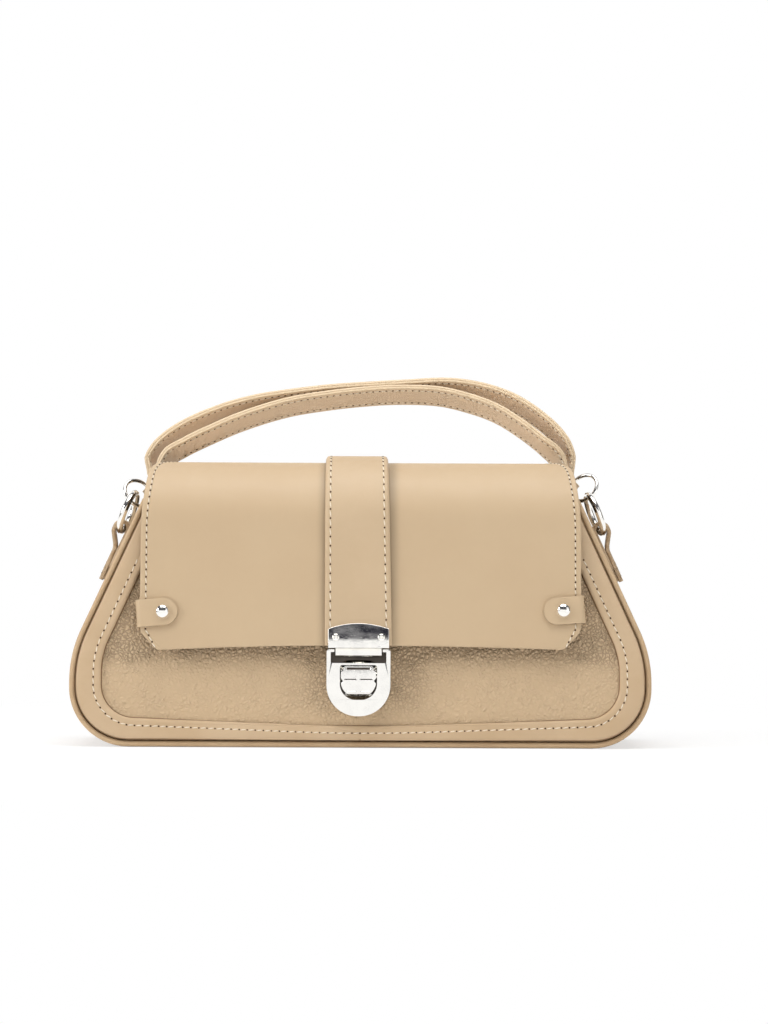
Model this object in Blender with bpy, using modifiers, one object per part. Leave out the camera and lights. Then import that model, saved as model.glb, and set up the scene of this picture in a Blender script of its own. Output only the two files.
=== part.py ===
"""A small leather handbag with a flap, a push lock and a double handle on metal rings.

Run it in Blender 4.5. Units are metres, +Z is up, the front of the bag faces -Y, and the
origin lies on the floor under the middle of the base.
"""

from math import atan, atan2, ceil, cos, pi, radians, sin, sqrt, tan

import bmesh
import bpy
import numpy as np
from mathutils import Matrix, Vector

# Leather, thread gaps and rounding
LEATHER = 0.0014
THIN_LEATHER = 0.0012
LINING = 0.0008
SEAM_GAP = 0.0003
OVERRUN = 0.002
ARC_STEP = radians(11)
COARSE_ARC_STEP = radians(30)
ROUND_STEPS = 16
MERGE = 0.00001

# Body: two trapezoid panels that lean together, with a gusset between them
BODY_HALF_WIDTH = 0.1430
BODY_TOP_HALF_WIDTH = 0.1075
PANEL_HEIGHT = 0.1210
KNEE_HEIGHT = 0.0430
KNEE_ARC_SHARE = 0.30
CORNER_SHARE = 0.628
BASE_DEPTH = 0.0750
LEAN = radians(7.4)
PIPING_RADIUS = 0.0015
GUSSET_THICKNESS = 0.0016
GUSSET_HEIGHT = 0.1130

# Border band round the grained front panel
BAND_THICKNESS = 0.0019
BAND_ROUND = 0.0006
BAND_SIDE = 0.0130
BAND_CORNER = 0.0117
BAND_BOTTOM = 0.0070
BAND_TOP = 0.0080
BAND_KNEE_ARC_SHARE = 0.28
BAND_CORNER_SHARE = 0.543
BAND_TOP_CORNER_RADIUS = 0.00425
BAND_BOTTOM_RADIUS = 0.9000

# Base board and lining pouch
BOARD_THICKNESS = 0.0015
BOARD_HALF_WIDTH = 0.1000
BOARD_DEPTH = 0.0560
BOARD_RADIUS = 0.0080

# Flap, which folds along its crest
FLAP_HALF_WIDTH = 0.1105
FLAP_HEIGHT = 0.1430
FLAP_STANDOFF = 0.0046
FLAP_BOTTOM = 0.0474
FLAP_FRONT_BEND_SHARE = 0.959
FLAP_REAR_BEND_SHARE = 0.6885
FLAP_SEWN_HEIGHT = 0.1120
FLAP_BOW = 0.0021
FLAP_BOW_REACH = 0.0400
FLAP_CORNER_CUT = 0.0088
FLAP_HINGE_DEPTH = 0.0030
FLAP_FRONT_WIDTH_SHARES = ((0, 1), (0.58, 1), (0.74, 0.983), (0.87, 0.968), (1, 0.918))
FLAP_REAR_WIDTH_SHARES = ((0, 0.83), (0.6, 0.83), (0.85, 0.875), (1, 0.915))
FLAP_COLUMNS = 8

# Centre strap over the flap
STRAP_HALF_WIDTH = 0.0169
STRAP_TOP_SHARE = 0.94
STRAP_REAR_HEIGHT = 0.1180

# Lock
LOCK_HALF_WIDTH = 0.01595
LOCK_BOTTOM = 0.0120
LOCK_TOP = 0.0456
LOCK_THICKNESS = 0.0067
LOCK_ROUND = 0.0008
LOCK_TOP_RADIUS = 0.0012
WINDOW_HALF_WIDTH = 0.0139
WINDOW_BOTTOM = 0.0386
WINDOW_TOP = 0.0441
THROAT_HALF_WIDTH = 0.0121
OPENING_HALF_WIDTH = 0.0093
OPENING_BOTTOM = 0.0202
OPENING_TOP = 0.0376
OPENING_RADIUS = 0.0080
OPENING_TOP_RADIUS = 0.0010
POCKET_MARGIN = 0.0032
POCKET_DEPTH = 0.0022
BUTTON_GAP = 0.0005
BUTTON_BOTTOM = 0.0229
BUTTON_TRAVEL = 0.0015
BUTTON_RADIUS = 0.0077
BUTTON_CHORD_RISE = 0.0012
BUTTON_TOP_RADIUS = 0.0016
BUTTON_STANDOFF = 0.0002
BUTTON_FLANGE = 0.0012
BUTTON_FLANGE_MARGIN = 0.0020
RIB_DEPTH = 0.0005
RIB_WIDTH = 0.0008
RIB_SPACING = 0.0059
RIB_EDGE_SHARE = 0.22
NOTCH_SHARE = 0.47
NOTCH_DEPTH = 0.0011
NOTCH_HALF_HEIGHT = 0.0012
NECK_HALF_SHARE = 0.85
NECK_SHARE = 0.86
NECK_SHOULDER_SHARE = 0.79
NECK_SLOT_SHARE = 0.67
NECK_SLOT_DEPTH = 0.0012
BACK_PLATE_THICKNESS = 0.0010
BACK_PLATE_MARGIN = 0.0010

# Lock tongue plate on the flap
TONGUE_PLATE_HALF_WIDTH = 0.0153
TONGUE_PLATE_THICKNESS = 0.0018
TONGUE_PLATE_TOP = 0.0556
TONGUE_PLATE_ARCH = 0.0028
TONGUE_PLATE_ARCH_STEPS = 14
TONGUE_HALF_WIDTH = 0.0116
TONGUE_THICKNESS = 0.0018
TONGUE_BOTTOM = 0.0421
TONGUE_LEDGE = 0.0012
TONGUE_LIP = 0.0018
TONGUE_LIP_HEIGHT = 0.0013
SCREW_SPREAD = 0.0114
SCREW_HEIGHT = 0.0512
SCREW_HEAD_RADIUS = 0.0018
SCREW_HEAD_HEIGHT = 0.0007
SCREW_SHANK_RADIUS = 0.0008
BACKING_HALF_WIDTH = 0.0148
BACKING_BOTTOM = 0.0485
BACKING_TOP = 0.0560
BACKING_THICKNESS = 0.0008

# Side tabs and their rivets
TAB_HALF_HEIGHT = 0.0069
TAB_INNER_END = 0.0916
TAB_REAR_END = 0.0960
TAB_CENTRE_HEIGHT = 0.0648
TAB_EDGE_ROOM = 0.0006
TAB_EDGE_RADIUS = 0.0019
TAB_END_ROWS = 4
RIVET_PLACE = 0.1005
RIVET_HEAD_RADIUS = 0.0035
RIVET_HEAD_HEIGHT = 0.0026
RIVET_RIM = 0.0004
RIVET_SHANK_RADIUS = 0.0010
RIVET_TAIL_RADIUS = 0.0024
RIVET_TAIL_HEIGHT = 0.0008

# Ring tabs on the gusset, and the rings in them
RING_TAB_HALF_WIDTH = 0.0050
RING_TAB_LOW = 0.0800
RING_TAB_THICKNESS = 0.0040
RING_TAB_PLY = 0.0016
RING_TAB_END_RADIUS = 0.0012
TAB_RING_RADIUS = 0.01025
TAB_RING_WIRE = 0.00175
TAB_RING_HEIGHT = 0.1060
TAB_RING_STANDOFF = 0.0046
TAB_RING_TILT = radians(21)
TAB_RING_YAW = radians(8)
HANDLE_RING_RADIUS = 0.0075
HANDLE_RING_WIRE = 0.0010
RING_LINK_GAP = 0.0005
TORUS_TURNS = 28
TORUS_SIDES = 8

# Handle: two straps, each of a leather ply and a lining ply
HANDLE_LEAN = radians(33)
HANDLE_HALF_WIDTH = 0.0075
HANDLE_END_HALF_WIDTH = 0.0040
HANDLE_PLY = 0.00115
HANDLE_SPAN_SHARE = 0.947
HANDLE_RISE = 0.0680
HANDLE_RING_YAW = radians(60)
HANDLE_RING_LINK_TURN = radians(165)
HANDLE_LOOP_TURN = radians(-35)
HANDLE_LOOP_RADIUS = 0.0029
HANDLE_TONGUE = 0.0075
HANDLE_STRAIGHT = 0.0090
HANDLE_PAIR_GAP = 0.0009
HANDLE_PLY_GAP = 0.00045
HANDLE_END_START = 0.0022
HANDLE_TWIST_LENGTH = 0.0300
HANDLE_STEPS = 3
# Places along each strap's outer face, as shares of the half span and of the rise, with
# the share of the loop's set-back that is left there.
OUTER_ROUTE_SHARES = (
    (-0.978, 0.37, 0.85),
    (-0.938, 0.475, 0.55),
    (-0.83, 0.635, 0.25),
    (-0.665, 0.785, 0.1),
    (-0.50, 0.86, 0),
    (-0.34, 0.91, 0),
    (-0.15, 0.95, 0),
    (0.03, 0.975, 0),
    (0.20, 0.995, 0),
    (0.38, 1.0, 0),
    (0.56, 0.96, 0),
    (0.70, 0.865, 0),
    (0.85, 0.69, 0.1),
    (0.938, 0.54, 0.38),
    (0.974, 0.43, 0.7),
)
INNER_ROUTE_SHARES = (
    (-0.872, 0.385, 0.6),
    (-0.80, 0.485, 0.35),
    (-0.69, 0.58, 0.1),
    (-0.54, 0.70, 0),
    (-0.34, 0.82, 0),
    (-0.15, 0.89, 0),
    (0.03, 0.925, 0),
    (0.18, 0.94, 0),
    (0.36, 0.925, 0),
    (0.50, 0.862, 0),
    (0.62, 0.765, 0),
    (0.735, 0.63, 0.1),
    (0.83, 0.505, 0.3),
    (0.905, 0.40, 0.55),
)
STUD_SHARE = 0.45
STUD_HEAD_RADIUS = 0.0015
STUD_HEAD_HEIGHT = 0.0013
STUD_SHANK_RADIUS = 0.0007
STUD_TAIL_HEIGHT = 0.0007
STUD_SEAT = 0.0006

# Levels, measured outwards from the front panel's face
PANEL_BACK = -LEATHER
LINING_FRONT = PANEL_BACK - SEAM_GAP
GUSSET_EDGE = PANEL_BACK / 2 - PIPING_RADIUS - SEAM_GAP
BAND_LOW = SEAM_GAP
LOCK_FRONT = SEAM_GAP + LOCK_THICKNESS
FLAP_LINING_LOW = FLAP_STANDOFF
FLAP_LEATHER_LOW = FLAP_LINING_LOW + LINING + SEAM_GAP
FLAP_OUTSIDE = FLAP_LEATHER_LOW + THIN_LEATHER
STRAP_LOW = FLAP_OUTSIDE + SEAM_GAP
STRAP_OUTSIDE = STRAP_LOW + THIN_LEATHER
TONGUE_PLATE_LOW = STRAP_OUTSIDE + SEAM_GAP
TONGUE_PLATE_FRONT = TONGUE_PLATE_LOW + TONGUE_PLATE_THICKNESS
REAR_OUTSIDE = SEAM_GAP + THIN_LEATHER

# Distances outwards from the seam line round a panel
PIPING_PLACE = PIPING_RADIUS
GUSSET_OUTSIDE = PIPING_PLACE + PIPING_RADIUS
PANEL_EDGE = -SEAM_GAP
LINING_EDGE = PANEL_EDGE

# The seam line's bottom stands above the floor by what lies below it
SEAM_LIFT = GUSSET_OUTSIDE * cos(LEAN) - GUSSET_EDGE * sin(LEAN)
FRONT = Matrix.Translation((0, -BASE_DEPTH / 2, SEAM_LIFT)) @ Matrix.Rotation(pi / 2 - LEAN, 4, "X")
BACK = Matrix.Rotation(pi, 4, "Z") @ FRONT


def fresh_collections():
    for old in list(bpy.data.objects):
        bpy.data.objects.remove(old)
    parts = bpy.data.collections.new("handbag")
    cutters = bpy.data.collections.new("cutters")
    for collection in (parts, cutters):
        bpy.context.scene.collection.children.link(collection)
    return parts, cutters


PARTS, CUTTERS = fresh_collections()


def colour(red, green, blue):
    """A display colour of 0 to 255 as the linear values of a shader."""
    return [((c / 255 + 0.055) / 1.055) ** 2.4 for c in (red, green, blue)] + [1]


def material(name, tint, roughness, metallic=0):
    made = bpy.data.materials.new(name)
    made.use_nodes = True
    made.diffuse_color = tint
    shader = made.node_tree.nodes["Principled BSDF"]
    shader.inputs["Base Color"].default_value = tint
    shader.inputs["Roughness"].default_value = roughness
    shader.inputs["Metallic"].default_value = metallic
    return made


SMOOTH_LEATHER = material("smooth_leather", colour(214, 187, 151), 0.5)
BAND_LEATHER = material("band_leather", colour(207, 180, 145), 0.5)
GRAINED_LEATHER = material("grained_leather", colour(196, 168, 132), 0.6)
SUEDE = material("suede", colour(168, 146, 122), 0.9)
CLOTH = material("lining_cloth", colour(178, 158, 132), 0.9)
BOARD = material("board", colour(120, 110, 98), 0.9)
CHROME = material("chrome", colour(225, 225, 225), 0.1, 1)
DARK_STEEL = material("dark_steel", colour(120, 120, 120), 0.35, 1)


def finished(obj, name, finish, frame=None, carrier=None):
    """Names an object, gives it its finish and place, and hangs it on its axis."""
    obj.name = name
    obj.data.name = name
    obj.data.materials.clear()
    obj.data.materials.append(finish)
    for collection in list(obj.users_collection):
        collection.objects.unlink(obj)
    PARTS.objects.link(obj)
    if frame is not None:
        obj.matrix_world = frame
    if carrier is not None:
        obj.parent = carrier
        obj.matrix_parent_inverse = carrier.matrix_world.inverted()
    return obj


def axis_empty(name, frame):
    empty = bpy.data.objects.new(name, None)
    PARTS.objects.link(empty)
    empty.matrix_world = frame
    bpy.context.view_layer.update()
    return empty


def frame_of(across, up, origin):
    """A frame with its X and Y along two directions square to each other."""
    x, y = Vector(across).normalized(), Vector(up).normalized()
    z = x.cross(y)
    frame = Matrix((x, y, z)).transposed().to_4x4()
    frame.translation = origin
    return frame


def rounded(corners, closed=True, arc_step=ARC_STEP):
    """An outline's points, with each (across, up, radius) corner turned by an arc."""
    points = []
    for i, (across, up, radius) in enumerate(corners):
        here = Vector((across, up))
        if radius <= 0 or not closed and i in (0, len(corners) - 1):
            points.append(here)
            continue
        before = (Vector(corners[i - 1][:2]) - here).normalized()
        after = (Vector(corners[(i + 1) % len(corners)][:2]) - here).normalized()
        half = before.angle(after) / 2
        centre = here + (before + after).normalized() * radius / sin(half)
        arm = here + before * radius / tan(half) - centre
        turn = pi - 2 * half
        if before.x * after.y - before.y * after.x > 0:
            turn = -turn
        steps = max(2, ceil(abs(turn) / arc_step))
        for step in range(steps + 1):
            points.append(centre + Matrix.Rotation(turn * step / steps, 2) @ arm)
    return points


def grown(corners, distance, closed=True):
    """An outline moved by a distance to the right of its run, which is outwards."""
    places = [Vector(corner[:2]) for corner in corners]
    normals = []
    for i, place in enumerate(places):
        along = (places[(i + 1) % len(places)] - place).normalized()
        normals.append(Vector((along.y, -along.x)))
    moved = []
    for i, (place, corner) in enumerate(zip(places, corners)):
        first, second = normals[i - 1], normals[i]
        if not closed and i == 0:
            first = second
        if not closed and i == len(places) - 1:
            second = first
        shifted = place + (first + second) * distance / (1 + first.dot(second))
        radius = max(0, corner[2] + distance) if corner[2] else 0
        moved.append((shifted.x, shifted.y, radius))
    return moved


def side_slope():
    return (BODY_HALF_WIDTH - BODY_TOP_HALF_WIDTH) / (PANEL_HEIGHT - KNEE_HEIGHT)


def knee_radius(reach):
    """The radius of an arc that starts this far from the knee and ends as far above it."""
    return reach / tan(atan(side_slope()) / 2)


def body_run(height=PANEL_HEIGHT):
    """The seam line from the top left corner round the bottom to the top right."""
    top = BODY_HALF_WIDTH - side_slope() * (height - KNEE_HEIGHT)
    right = [
        (BODY_HALF_WIDTH, 0, CORNER_SHARE * KNEE_HEIGHT),
        (BODY_HALF_WIDTH, KNEE_HEIGHT, knee_radius(KNEE_ARC_SHARE * KNEE_HEIGHT)),
        (top, height, 0),
    ]
    return [(-x, y, radius) for x, y, radius in reversed(right)] + right


def opening_run():
    """The band's inner edge, which bows up a little towards its corners."""
    knee = BODY_HALF_WIDTH - BAND_SIDE
    height = PANEL_HEIGHT - BAND_TOP
    side = KNEE_HEIGHT - BAND_CORNER
    right = [
        (knee, BAND_CORNER, BAND_CORNER_SHARE * side),
        (knee, KNEE_HEIGHT, knee_radius(BAND_KNEE_ARC_SHARE * side)),
        (knee - side_slope() * (height - KNEE_HEIGHT), height, BAND_TOP_CORNER_RADIUS),
    ]
    left = [(-x, y, radius) for x, y, radius in reversed(right)]
    return left + [(0, BAND_BOTTOM, BAND_BOTTOM_RADIUS)] + right


def to_mesh(obj):
    """Turns a curve into a mesh object with its caps joined to its sides."""
    bpy.context.view_layer.update()
    mesh = bpy.data.meshes.new_from_object(obj.evaluated_get(bpy.context.evaluated_depsgraph_get()))
    work = bmesh.new()
    work.from_mesh(mesh)
    bmesh.ops.remove_doubles(work, verts=work.verts, dist=MERGE)
    work.to_mesh(mesh)
    work.free()
    made = bpy.data.objects.new(obj.name, mesh)
    bpy.context.scene.collection.objects.link(made)
    made.matrix_world = obj.matrix_world.copy()
    bpy.data.objects.remove(obj)
    return made


def plate(rings, low, high, frame=None):
    """A flat piece between two levels, cut to one outline and any holes in it."""
    curve = bpy.data.curves.new("plate", "CURVE")
    curve.dimensions = "2D"
    curve.fill_mode = "BOTH"
    curve.extrude = (high - low) / 2
    for ring in rings:
        spline = curve.splines.new("POLY")
        spline.points.add(len(ring) - 1)
        for point, place in zip(spline.points, ring):
            point.co = (place[0], place[1], 0, 1)
        spline.use_cyclic_u = True
    obj = bpy.data.objects.new("plate", curve)
    bpy.context.scene.collection.objects.link(obj)
    level = Matrix.Translation((0, 0, (low + high) / 2))
    obj.matrix_world = frame @ level if frame else level
    return to_mesh(obj)


def ring_of(radius, across=0, up=0, steps=ROUND_STEPS):
    turns = [2 * pi * step / steps for step in range(steps)]
    return [(across + radius * cos(turn), up + radius * sin(turn)) for turn in turns]


def softened(obj, width, segments=2):
    """Rounds an object's sharp edges."""
    bevel = obj.modifiers.new("rounded edges", "BEVEL")
    bevel.width = width
    bevel.segments = segments
    bevel.limit_method = "ANGLE"
    bevel.angle_limit = radians(40)
    return obj


def tube(points, radius, frame=None):
    curve = bpy.data.curves.new("tube", "CURVE")
    curve.dimensions = "3D"
    curve.bevel_depth = radius
    curve.bevel_resolution = 2
    curve.use_fill_caps = True
    spline = curve.splines.new("POLY")
    spline.points.add(len(points) - 1)
    for point, place in zip(spline.points, points):
        point.co = (*Vector(place).to_3d(), 1)
    obj = bpy.data.objects.new("tube", curve)
    bpy.context.scene.collection.objects.link(obj)
    if frame:
        obj.matrix_world = frame
    return to_mesh(obj)


def sheet(rows, columns, place, thickness, side):
    """A skin with its rows along one direction, thickened to one side of itself."""
    mesh = bpy.data.meshes.new("sheet")
    work = bmesh.new()
    bmesh.ops.create_grid(work, x_segments=columns, y_segments=rows - 1, size=1)
    for vert in work.verts:
        row = round((vert.co.y + 1) / 2 * (rows - 1))
        vert.co = place(row, vert.co.x)
    work.to_mesh(mesh)
    work.free()
    obj = bpy.data.objects.new("sheet", mesh)
    bpy.context.scene.collection.objects.link(obj)
    shell = obj.modifiers.new("thickness", "SOLIDIFY")
    shell.thickness = thickness
    shell.offset = side
    shell.use_even_offset = True
    return obj


def turned(profile, frame=None):
    """A turned piece: its profile runs from the top of its axis to the bottom."""
    mesh = bpy.data.meshes.new("turned")
    work = bmesh.new()
    verts = [work.verts.new((radius, 0, height)) for radius, height in profile]
    for first, second in zip(verts, verts[1:]):
        work.edges.new((first, second))
    work.to_mesh(mesh)
    work.free()
    obj = bpy.data.objects.new("turned", mesh)
    bpy.context.scene.collection.objects.link(obj)
    lathe = obj.modifiers.new("turning", "SCREW")
    lathe.steps = ROUND_STEPS
    lathe.render_steps = ROUND_STEPS
    lathe.use_merge_vertices = True
    lathe.merge_threshold = MERGE
    if frame:
        obj.matrix_world = frame
    return obj


def cut(obj, *cutters):
    for cutter in cutters:
        drill = obj.modifiers.new("cut", "BOOLEAN")
        drill.operation = "DIFFERENCE"
        drill.object = cutter
    return obj


def flat_faced(obj):
    """Splits an object's faces into triangles, so that a cut leaves them all flat."""
    obj.modifiers.new("flat faces", "TRIANGULATE")
    return obj


def as_cutter(obj, name):
    obj.name = name
    for collection in list(obj.users_collection):
        collection.objects.unlink(obj)
    CUTTERS.objects.link(obj)
    obj.hide_render = True
    obj.display_type = "WIRE"
    return obj


def dome(radius, height, level, steps=5):
    """Profile points of a dome from its top to its rim."""
    turns = [pi / 2 * step / steps for step in range(steps + 1)]
    return [(radius * sin(turn), level + height * cos(turn)) for turn in turns]


def smoothed(points, steps):
    """A smooth path through points of any dimension, with its own ones kept."""
    knots = [np.array(point, dtype=float) for point in points]
    times = [0.0]
    for first, second in zip(knots, knots[1:]):
        times.append(times[-1] + np.linalg.norm(second - first))
    speeds = []
    for i in range(len(knots)):
        low, high = max(0, i - 1), min(len(knots) - 1, i + 1)
        speeds.append((knots[high] - knots[low]) / (times[high] - times[low]))
    path = []
    for i in range(len(knots) - 1):
        span = times[i + 1] - times[i]
        for step in range(steps):
            t = step / steps
            first = (2 * t**3 - 3 * t**2 + 1) * knots[i] + (t**3 - 2 * t**2 + t) * span * speeds[i]
            last = (3 * t**2 - 2 * t**3) * knots[i + 1] + (t**3 - t**2) * span * speeds[i + 1]
            path.append(first + last)
    return path + [knots[-1]]


def body_panels():
    outline = rounded(grown(body_run(), PANEL_EDGE))
    front = plate([outline], PANEL_BACK, 0, FRONT)
    finished(front, "front_panel", GRAINED_LEATHER)
    back = plate([outline], PANEL_BACK, 0, BACK)
    finished(back, "back_panel", GRAINED_LEATHER)


def border_band():
    outline = rounded(grown(body_run(), PANEL_EDGE))
    opening = rounded(opening_run())
    band = plate([outline, opening], BAND_LOW, BAND_LOW + BAND_THICKNESS, FRONT)
    softened(band, BAND_ROUND)
    finished(band, "front_border", BAND_LEATHER)


def piping():
    run = rounded(grown(body_run(), PIPING_PLACE, closed=False), closed=False)
    path = [(point.x, point.y, PANEL_BACK / 2) for point in run]
    finished(tube(path, PIPING_RADIUS, FRONT), "front_piping", BAND_LEATHER)
    finished(tube(path, PIPING_RADIUS, BACK), "back_piping", BAND_LEATHER)


def gusset():
    run = rounded(grown(body_run(GUSSET_HEIGHT), GUSSET_OUTSIDE, closed=False), closed=False)

    def place(row, side):
        edge = FRONT @ Vector((run[row].x, run[row].y, GUSSET_EDGE))
        return Vector((edge.x, -side * edge.y, edge.z))

    band = sheet(len(run), 1, place, GUSSET_THICKNESS, -1)
    finished(band, "gusset", BAND_LEATHER)


def wedge(corners, front_level, name):
    """A closed body between one outline on the front panel and on the back panel."""
    outline = rounded(corners)
    mesh = bpy.data.meshes.new(name)
    work = bmesh.new()
    face = work.faces.new([work.verts.new(FRONT @ Vector((*p, front_level))) for p in outline])
    grew = bmesh.ops.extrude_face_region(work, geom=[face], use_keep_orig=True)
    for item in grew["geom"]:
        if isinstance(item, bmesh.types.BMVert):
            item.co.y = -item.co.y
    bmesh.ops.recalc_face_normals(work, faces=work.faces)
    work.to_mesh(mesh)
    work.free()
    obj = bpy.data.objects.new(name, mesh)
    bpy.context.scene.collection.objects.link(obj)
    return obj


def lining_pouch():
    outside = grown(body_run(), LINING_EDGE)
    inside = grown(outside, -LINING)
    raised = [(x, y + (OVERRUN if y > PANEL_HEIGHT / 2 else 0), radius) for x, y, radius in inside]
    hollow = as_cutter(wedge(raised, LINING_FRONT - LINING, "pouch_hollow"), "pouch_hollow")
    pouch = cut(wedge(outside, LINING_FRONT, "lining_pouch"), hollow)
    finished(pouch, "lining_pouch", CLOTH)


def base_board():
    half_depth = BOARD_DEPTH / 2
    corner = (BOARD_HALF_WIDTH, half_depth, BOARD_RADIUS)
    signs = ((-1, -1), (1, -1), (1, 1), (-1, 1))
    outline = rounded([(corner[0] * x, corner[1] * y, corner[2]) for x, y in signs])
    under = (FRONT @ Vector((0, LINING_EDGE * -1 + LINING, 0))).z + SEAM_GAP
    finished(plate([outline], under, under + BOARD_THICKNESS), "base_board", BOARD)


def flap_profile(outside, hinge_gap, front):
    """Corners of the flap's section in depth and height, run from the back forwards."""

    def back_point(height, level):
        point = BACK @ Vector((0, height, level))
        return point.y, point.z

    def front_point(height, level):
        point = FRONT @ Vector((0, height, level))
        return point.y, point.z

    def at_height(maker, level, z):
        low, high = maker(0, level), maker(PANEL_HEIGHT, level)
        share = (z - low[1]) / (high[1] - low[1])
        return low[0] + share * (high[0] - low[0])

    inset = FLAP_OUTSIDE - outside
    crest = FLAP_HEIGHT - inset
    hinge = (FLAP_HINGE_DEPTH + (-hinge_gap if front else hinge_gap), crest, 0)
    half_turn = (pi / 2 - LEAN) / 2
    if front:
        room = FLAP_HINGE_DEPTH - at_height(front_point, FLAP_OUTSIDE, FLAP_HEIGHT)
        radius = room * FLAP_FRONT_BEND_SHARE / tan(half_turn)
        bend = (at_height(front_point, outside, crest), crest, radius - inset)
        return [hinge, bend, (*front_point(FLAP_BOTTOM, outside), 0)]
    rear_level = REAR_OUTSIDE - inset
    room = at_height(back_point, REAR_OUTSIDE, FLAP_HEIGHT) - FLAP_HINGE_DEPTH
    radius = room * FLAP_REAR_BEND_SHARE / tan(half_turn)
    bend = (at_height(back_point, rear_level, crest), crest, radius - inset)
    return [(*back_point(FLAP_SEWN_HEIGHT, rear_level), 0), bend, hinge]


def run_lengths(points):
    lengths = [0.0]
    for first, second in zip(points, points[1:]):
        lengths.append(lengths[-1] + (second - first).length)
    return lengths


def with_stations(points, distances):
    """The points of a run, with more of them at given distances from its end."""
    lengths = run_lengths(points)
    total = lengths[-1]
    wanted = sorted({*lengths, *(total - distance for distance in distances)})
    found = [
        Vector((np.interp(at, lengths, [p.x for p in points]), np.interp(at, lengths, [p.y for p in points])))
        for at in wanted
    ]
    return found, [total - at for at in wanted]


def flap_front_sheet(outside, thickness, margin=0):
    corners = flap_profile(outside, SEAM_GAP / 2, True)
    marks = [FLAP_CORNER_CUT * share for share in (1.3, 1, 0.75, 0.5, 0.25, 0.08)]
    marks += [FLAP_BOW_REACH * share for share in (0.5, 0.75, 1)]
    run, from_bottom = with_stations(rounded(corners, closed=False), marks)
    total = from_bottom[0]
    down = (run[-1] - run[-2]).normalized()

    def place(row, side):
        distance = from_bottom[row]
        width = FLAP_HALF_WIDTH * np.interp(distance / total, *zip(*FLAP_FRONT_WIDTH_SHARES)) - margin
        width -= max(0, FLAP_CORNER_CUT - distance)
        sink = FLAP_BOW * side**2 * max(0, 1 - distance / FLAP_BOW_REACH)
        point = run[row] + down * sink
        return Vector((side * width, point.x, point.y))

    return sheet(len(run), FLAP_COLUMNS, place, thickness, 1)


def flap_rear_sheet(outside, thickness, margin=0):
    run = rounded(flap_profile(outside, SEAM_GAP / 2, False), closed=False)
    lengths = run_lengths(run)

    def place(row, side):
        share = lengths[row] / lengths[-1]
        width = FLAP_HALF_WIDTH * np.interp(share, *zip(*FLAP_REAR_WIDTH_SHARES)) - margin
        return Vector((side * width, run[row].x, run[row].y))

    return sheet(len(run), FLAP_COLUMNS // 2, place, thickness, 1)


def hole_cutter(name, across, up, radius, frame=FRONT):
    level = (RIVET_HEAD_HEIGHT + TONGUE_PLATE_FRONT + OVERRUN)
    drill = plate([ring_of(radius, across, up)], -level, level, frame)
    return as_cutter(drill, name)


def flap(carrier):
    """The flap's two plies in front of the hinge, and the sewn ones behind it."""
    holes = []
    for side, name in ((-1, "left"), (1, "right")):
        holes.append(
            hole_cutter(f"{name}_rivet_hole", side * RIVET_PLACE, TAB_CENTRE_HEIGHT, RIVET_SHANK_RADIUS + SEAM_GAP)
        )
        holes.append(
            hole_cutter(f"{name}_screw_hole", side * SCREW_SPREAD, SCREW_HEIGHT, SCREW_SHANK_RADIUS + SEAM_GAP)
        )
    leather = cut(flap_front_sheet(FLAP_OUTSIDE, THIN_LEATHER), *holes)
    finished(leather, "flap_leather", SMOOTH_LEATHER, carrier=carrier)
    lining = cut(flap_front_sheet(FLAP_LINING_LOW + LINING, LINING, SEAM_GAP), *holes)
    finished(lining, "flap_lining", CLOTH, carrier=carrier)
    finished(flap_rear_sheet(FLAP_OUTSIDE, THIN_LEATHER), "flap_rear_leather", SMOOTH_LEATHER)
    return holes


def centre_strap(carrier, holes):
    corners = flap_profile(STRAP_OUTSIDE, SEAM_GAP / 2, True)
    marks = [BACKING_TOP - FLAP_BOTTOM, SCREW_HEIGHT - FLAP_BOTTOM]
    front_run, _ = with_stations(rounded(corners, closed=False), marks)
    lengths = run_lengths(front_run)

    def front_place(row, side):
        share = lengths[row] / lengths[-1]
        width = STRAP_HALF_WIDTH * (STRAP_TOP_SHARE + (1 - STRAP_TOP_SHARE) * share)
        return Vector((side * width, front_run[row].x, front_run[row].y))

    front = cut(sheet(len(front_run), 1, front_place, THIN_LEATHER, 1), *holes)
    finished(front, "flap_strap", SMOOTH_LEATHER, carrier=carrier)

    corners = flap_profile(STRAP_OUTSIDE, SEAM_GAP / 2, False)
    start = BACK @ Vector((0, STRAP_REAR_HEIGHT, REAR_OUTSIDE + SEAM_GAP + THIN_LEATHER))
    corners[0] = (start.y, start.z, 0)
    rear_run = rounded(corners, closed=False)

    def rear_place(row, side):
        width = STRAP_HALF_WIDTH * STRAP_TOP_SHARE
        return Vector((side * width, rear_run[row].x, rear_run[row].y))

    rear = sheet(len(rear_run), 1, rear_place, THIN_LEATHER, 1)
    finished(rear, "flap_strap_rear", SMOOTH_LEATHER)


def lock_outline(half_width, bottom, top, top_radius):
    return [
        (-half_width, top, top_radius),
        (-half_width, bottom, half_width),
        (half_width, bottom, half_width),
        (half_width, top, top_radius),
    ]


def u_outline(half_width, bottom, top, radius, top_radius):
    return [
        (-half_width, top, top_radius),
        (-half_width, bottom, radius),
        (half_width, bottom, radius),
        (half_width, top, top_radius),
    ]


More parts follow.
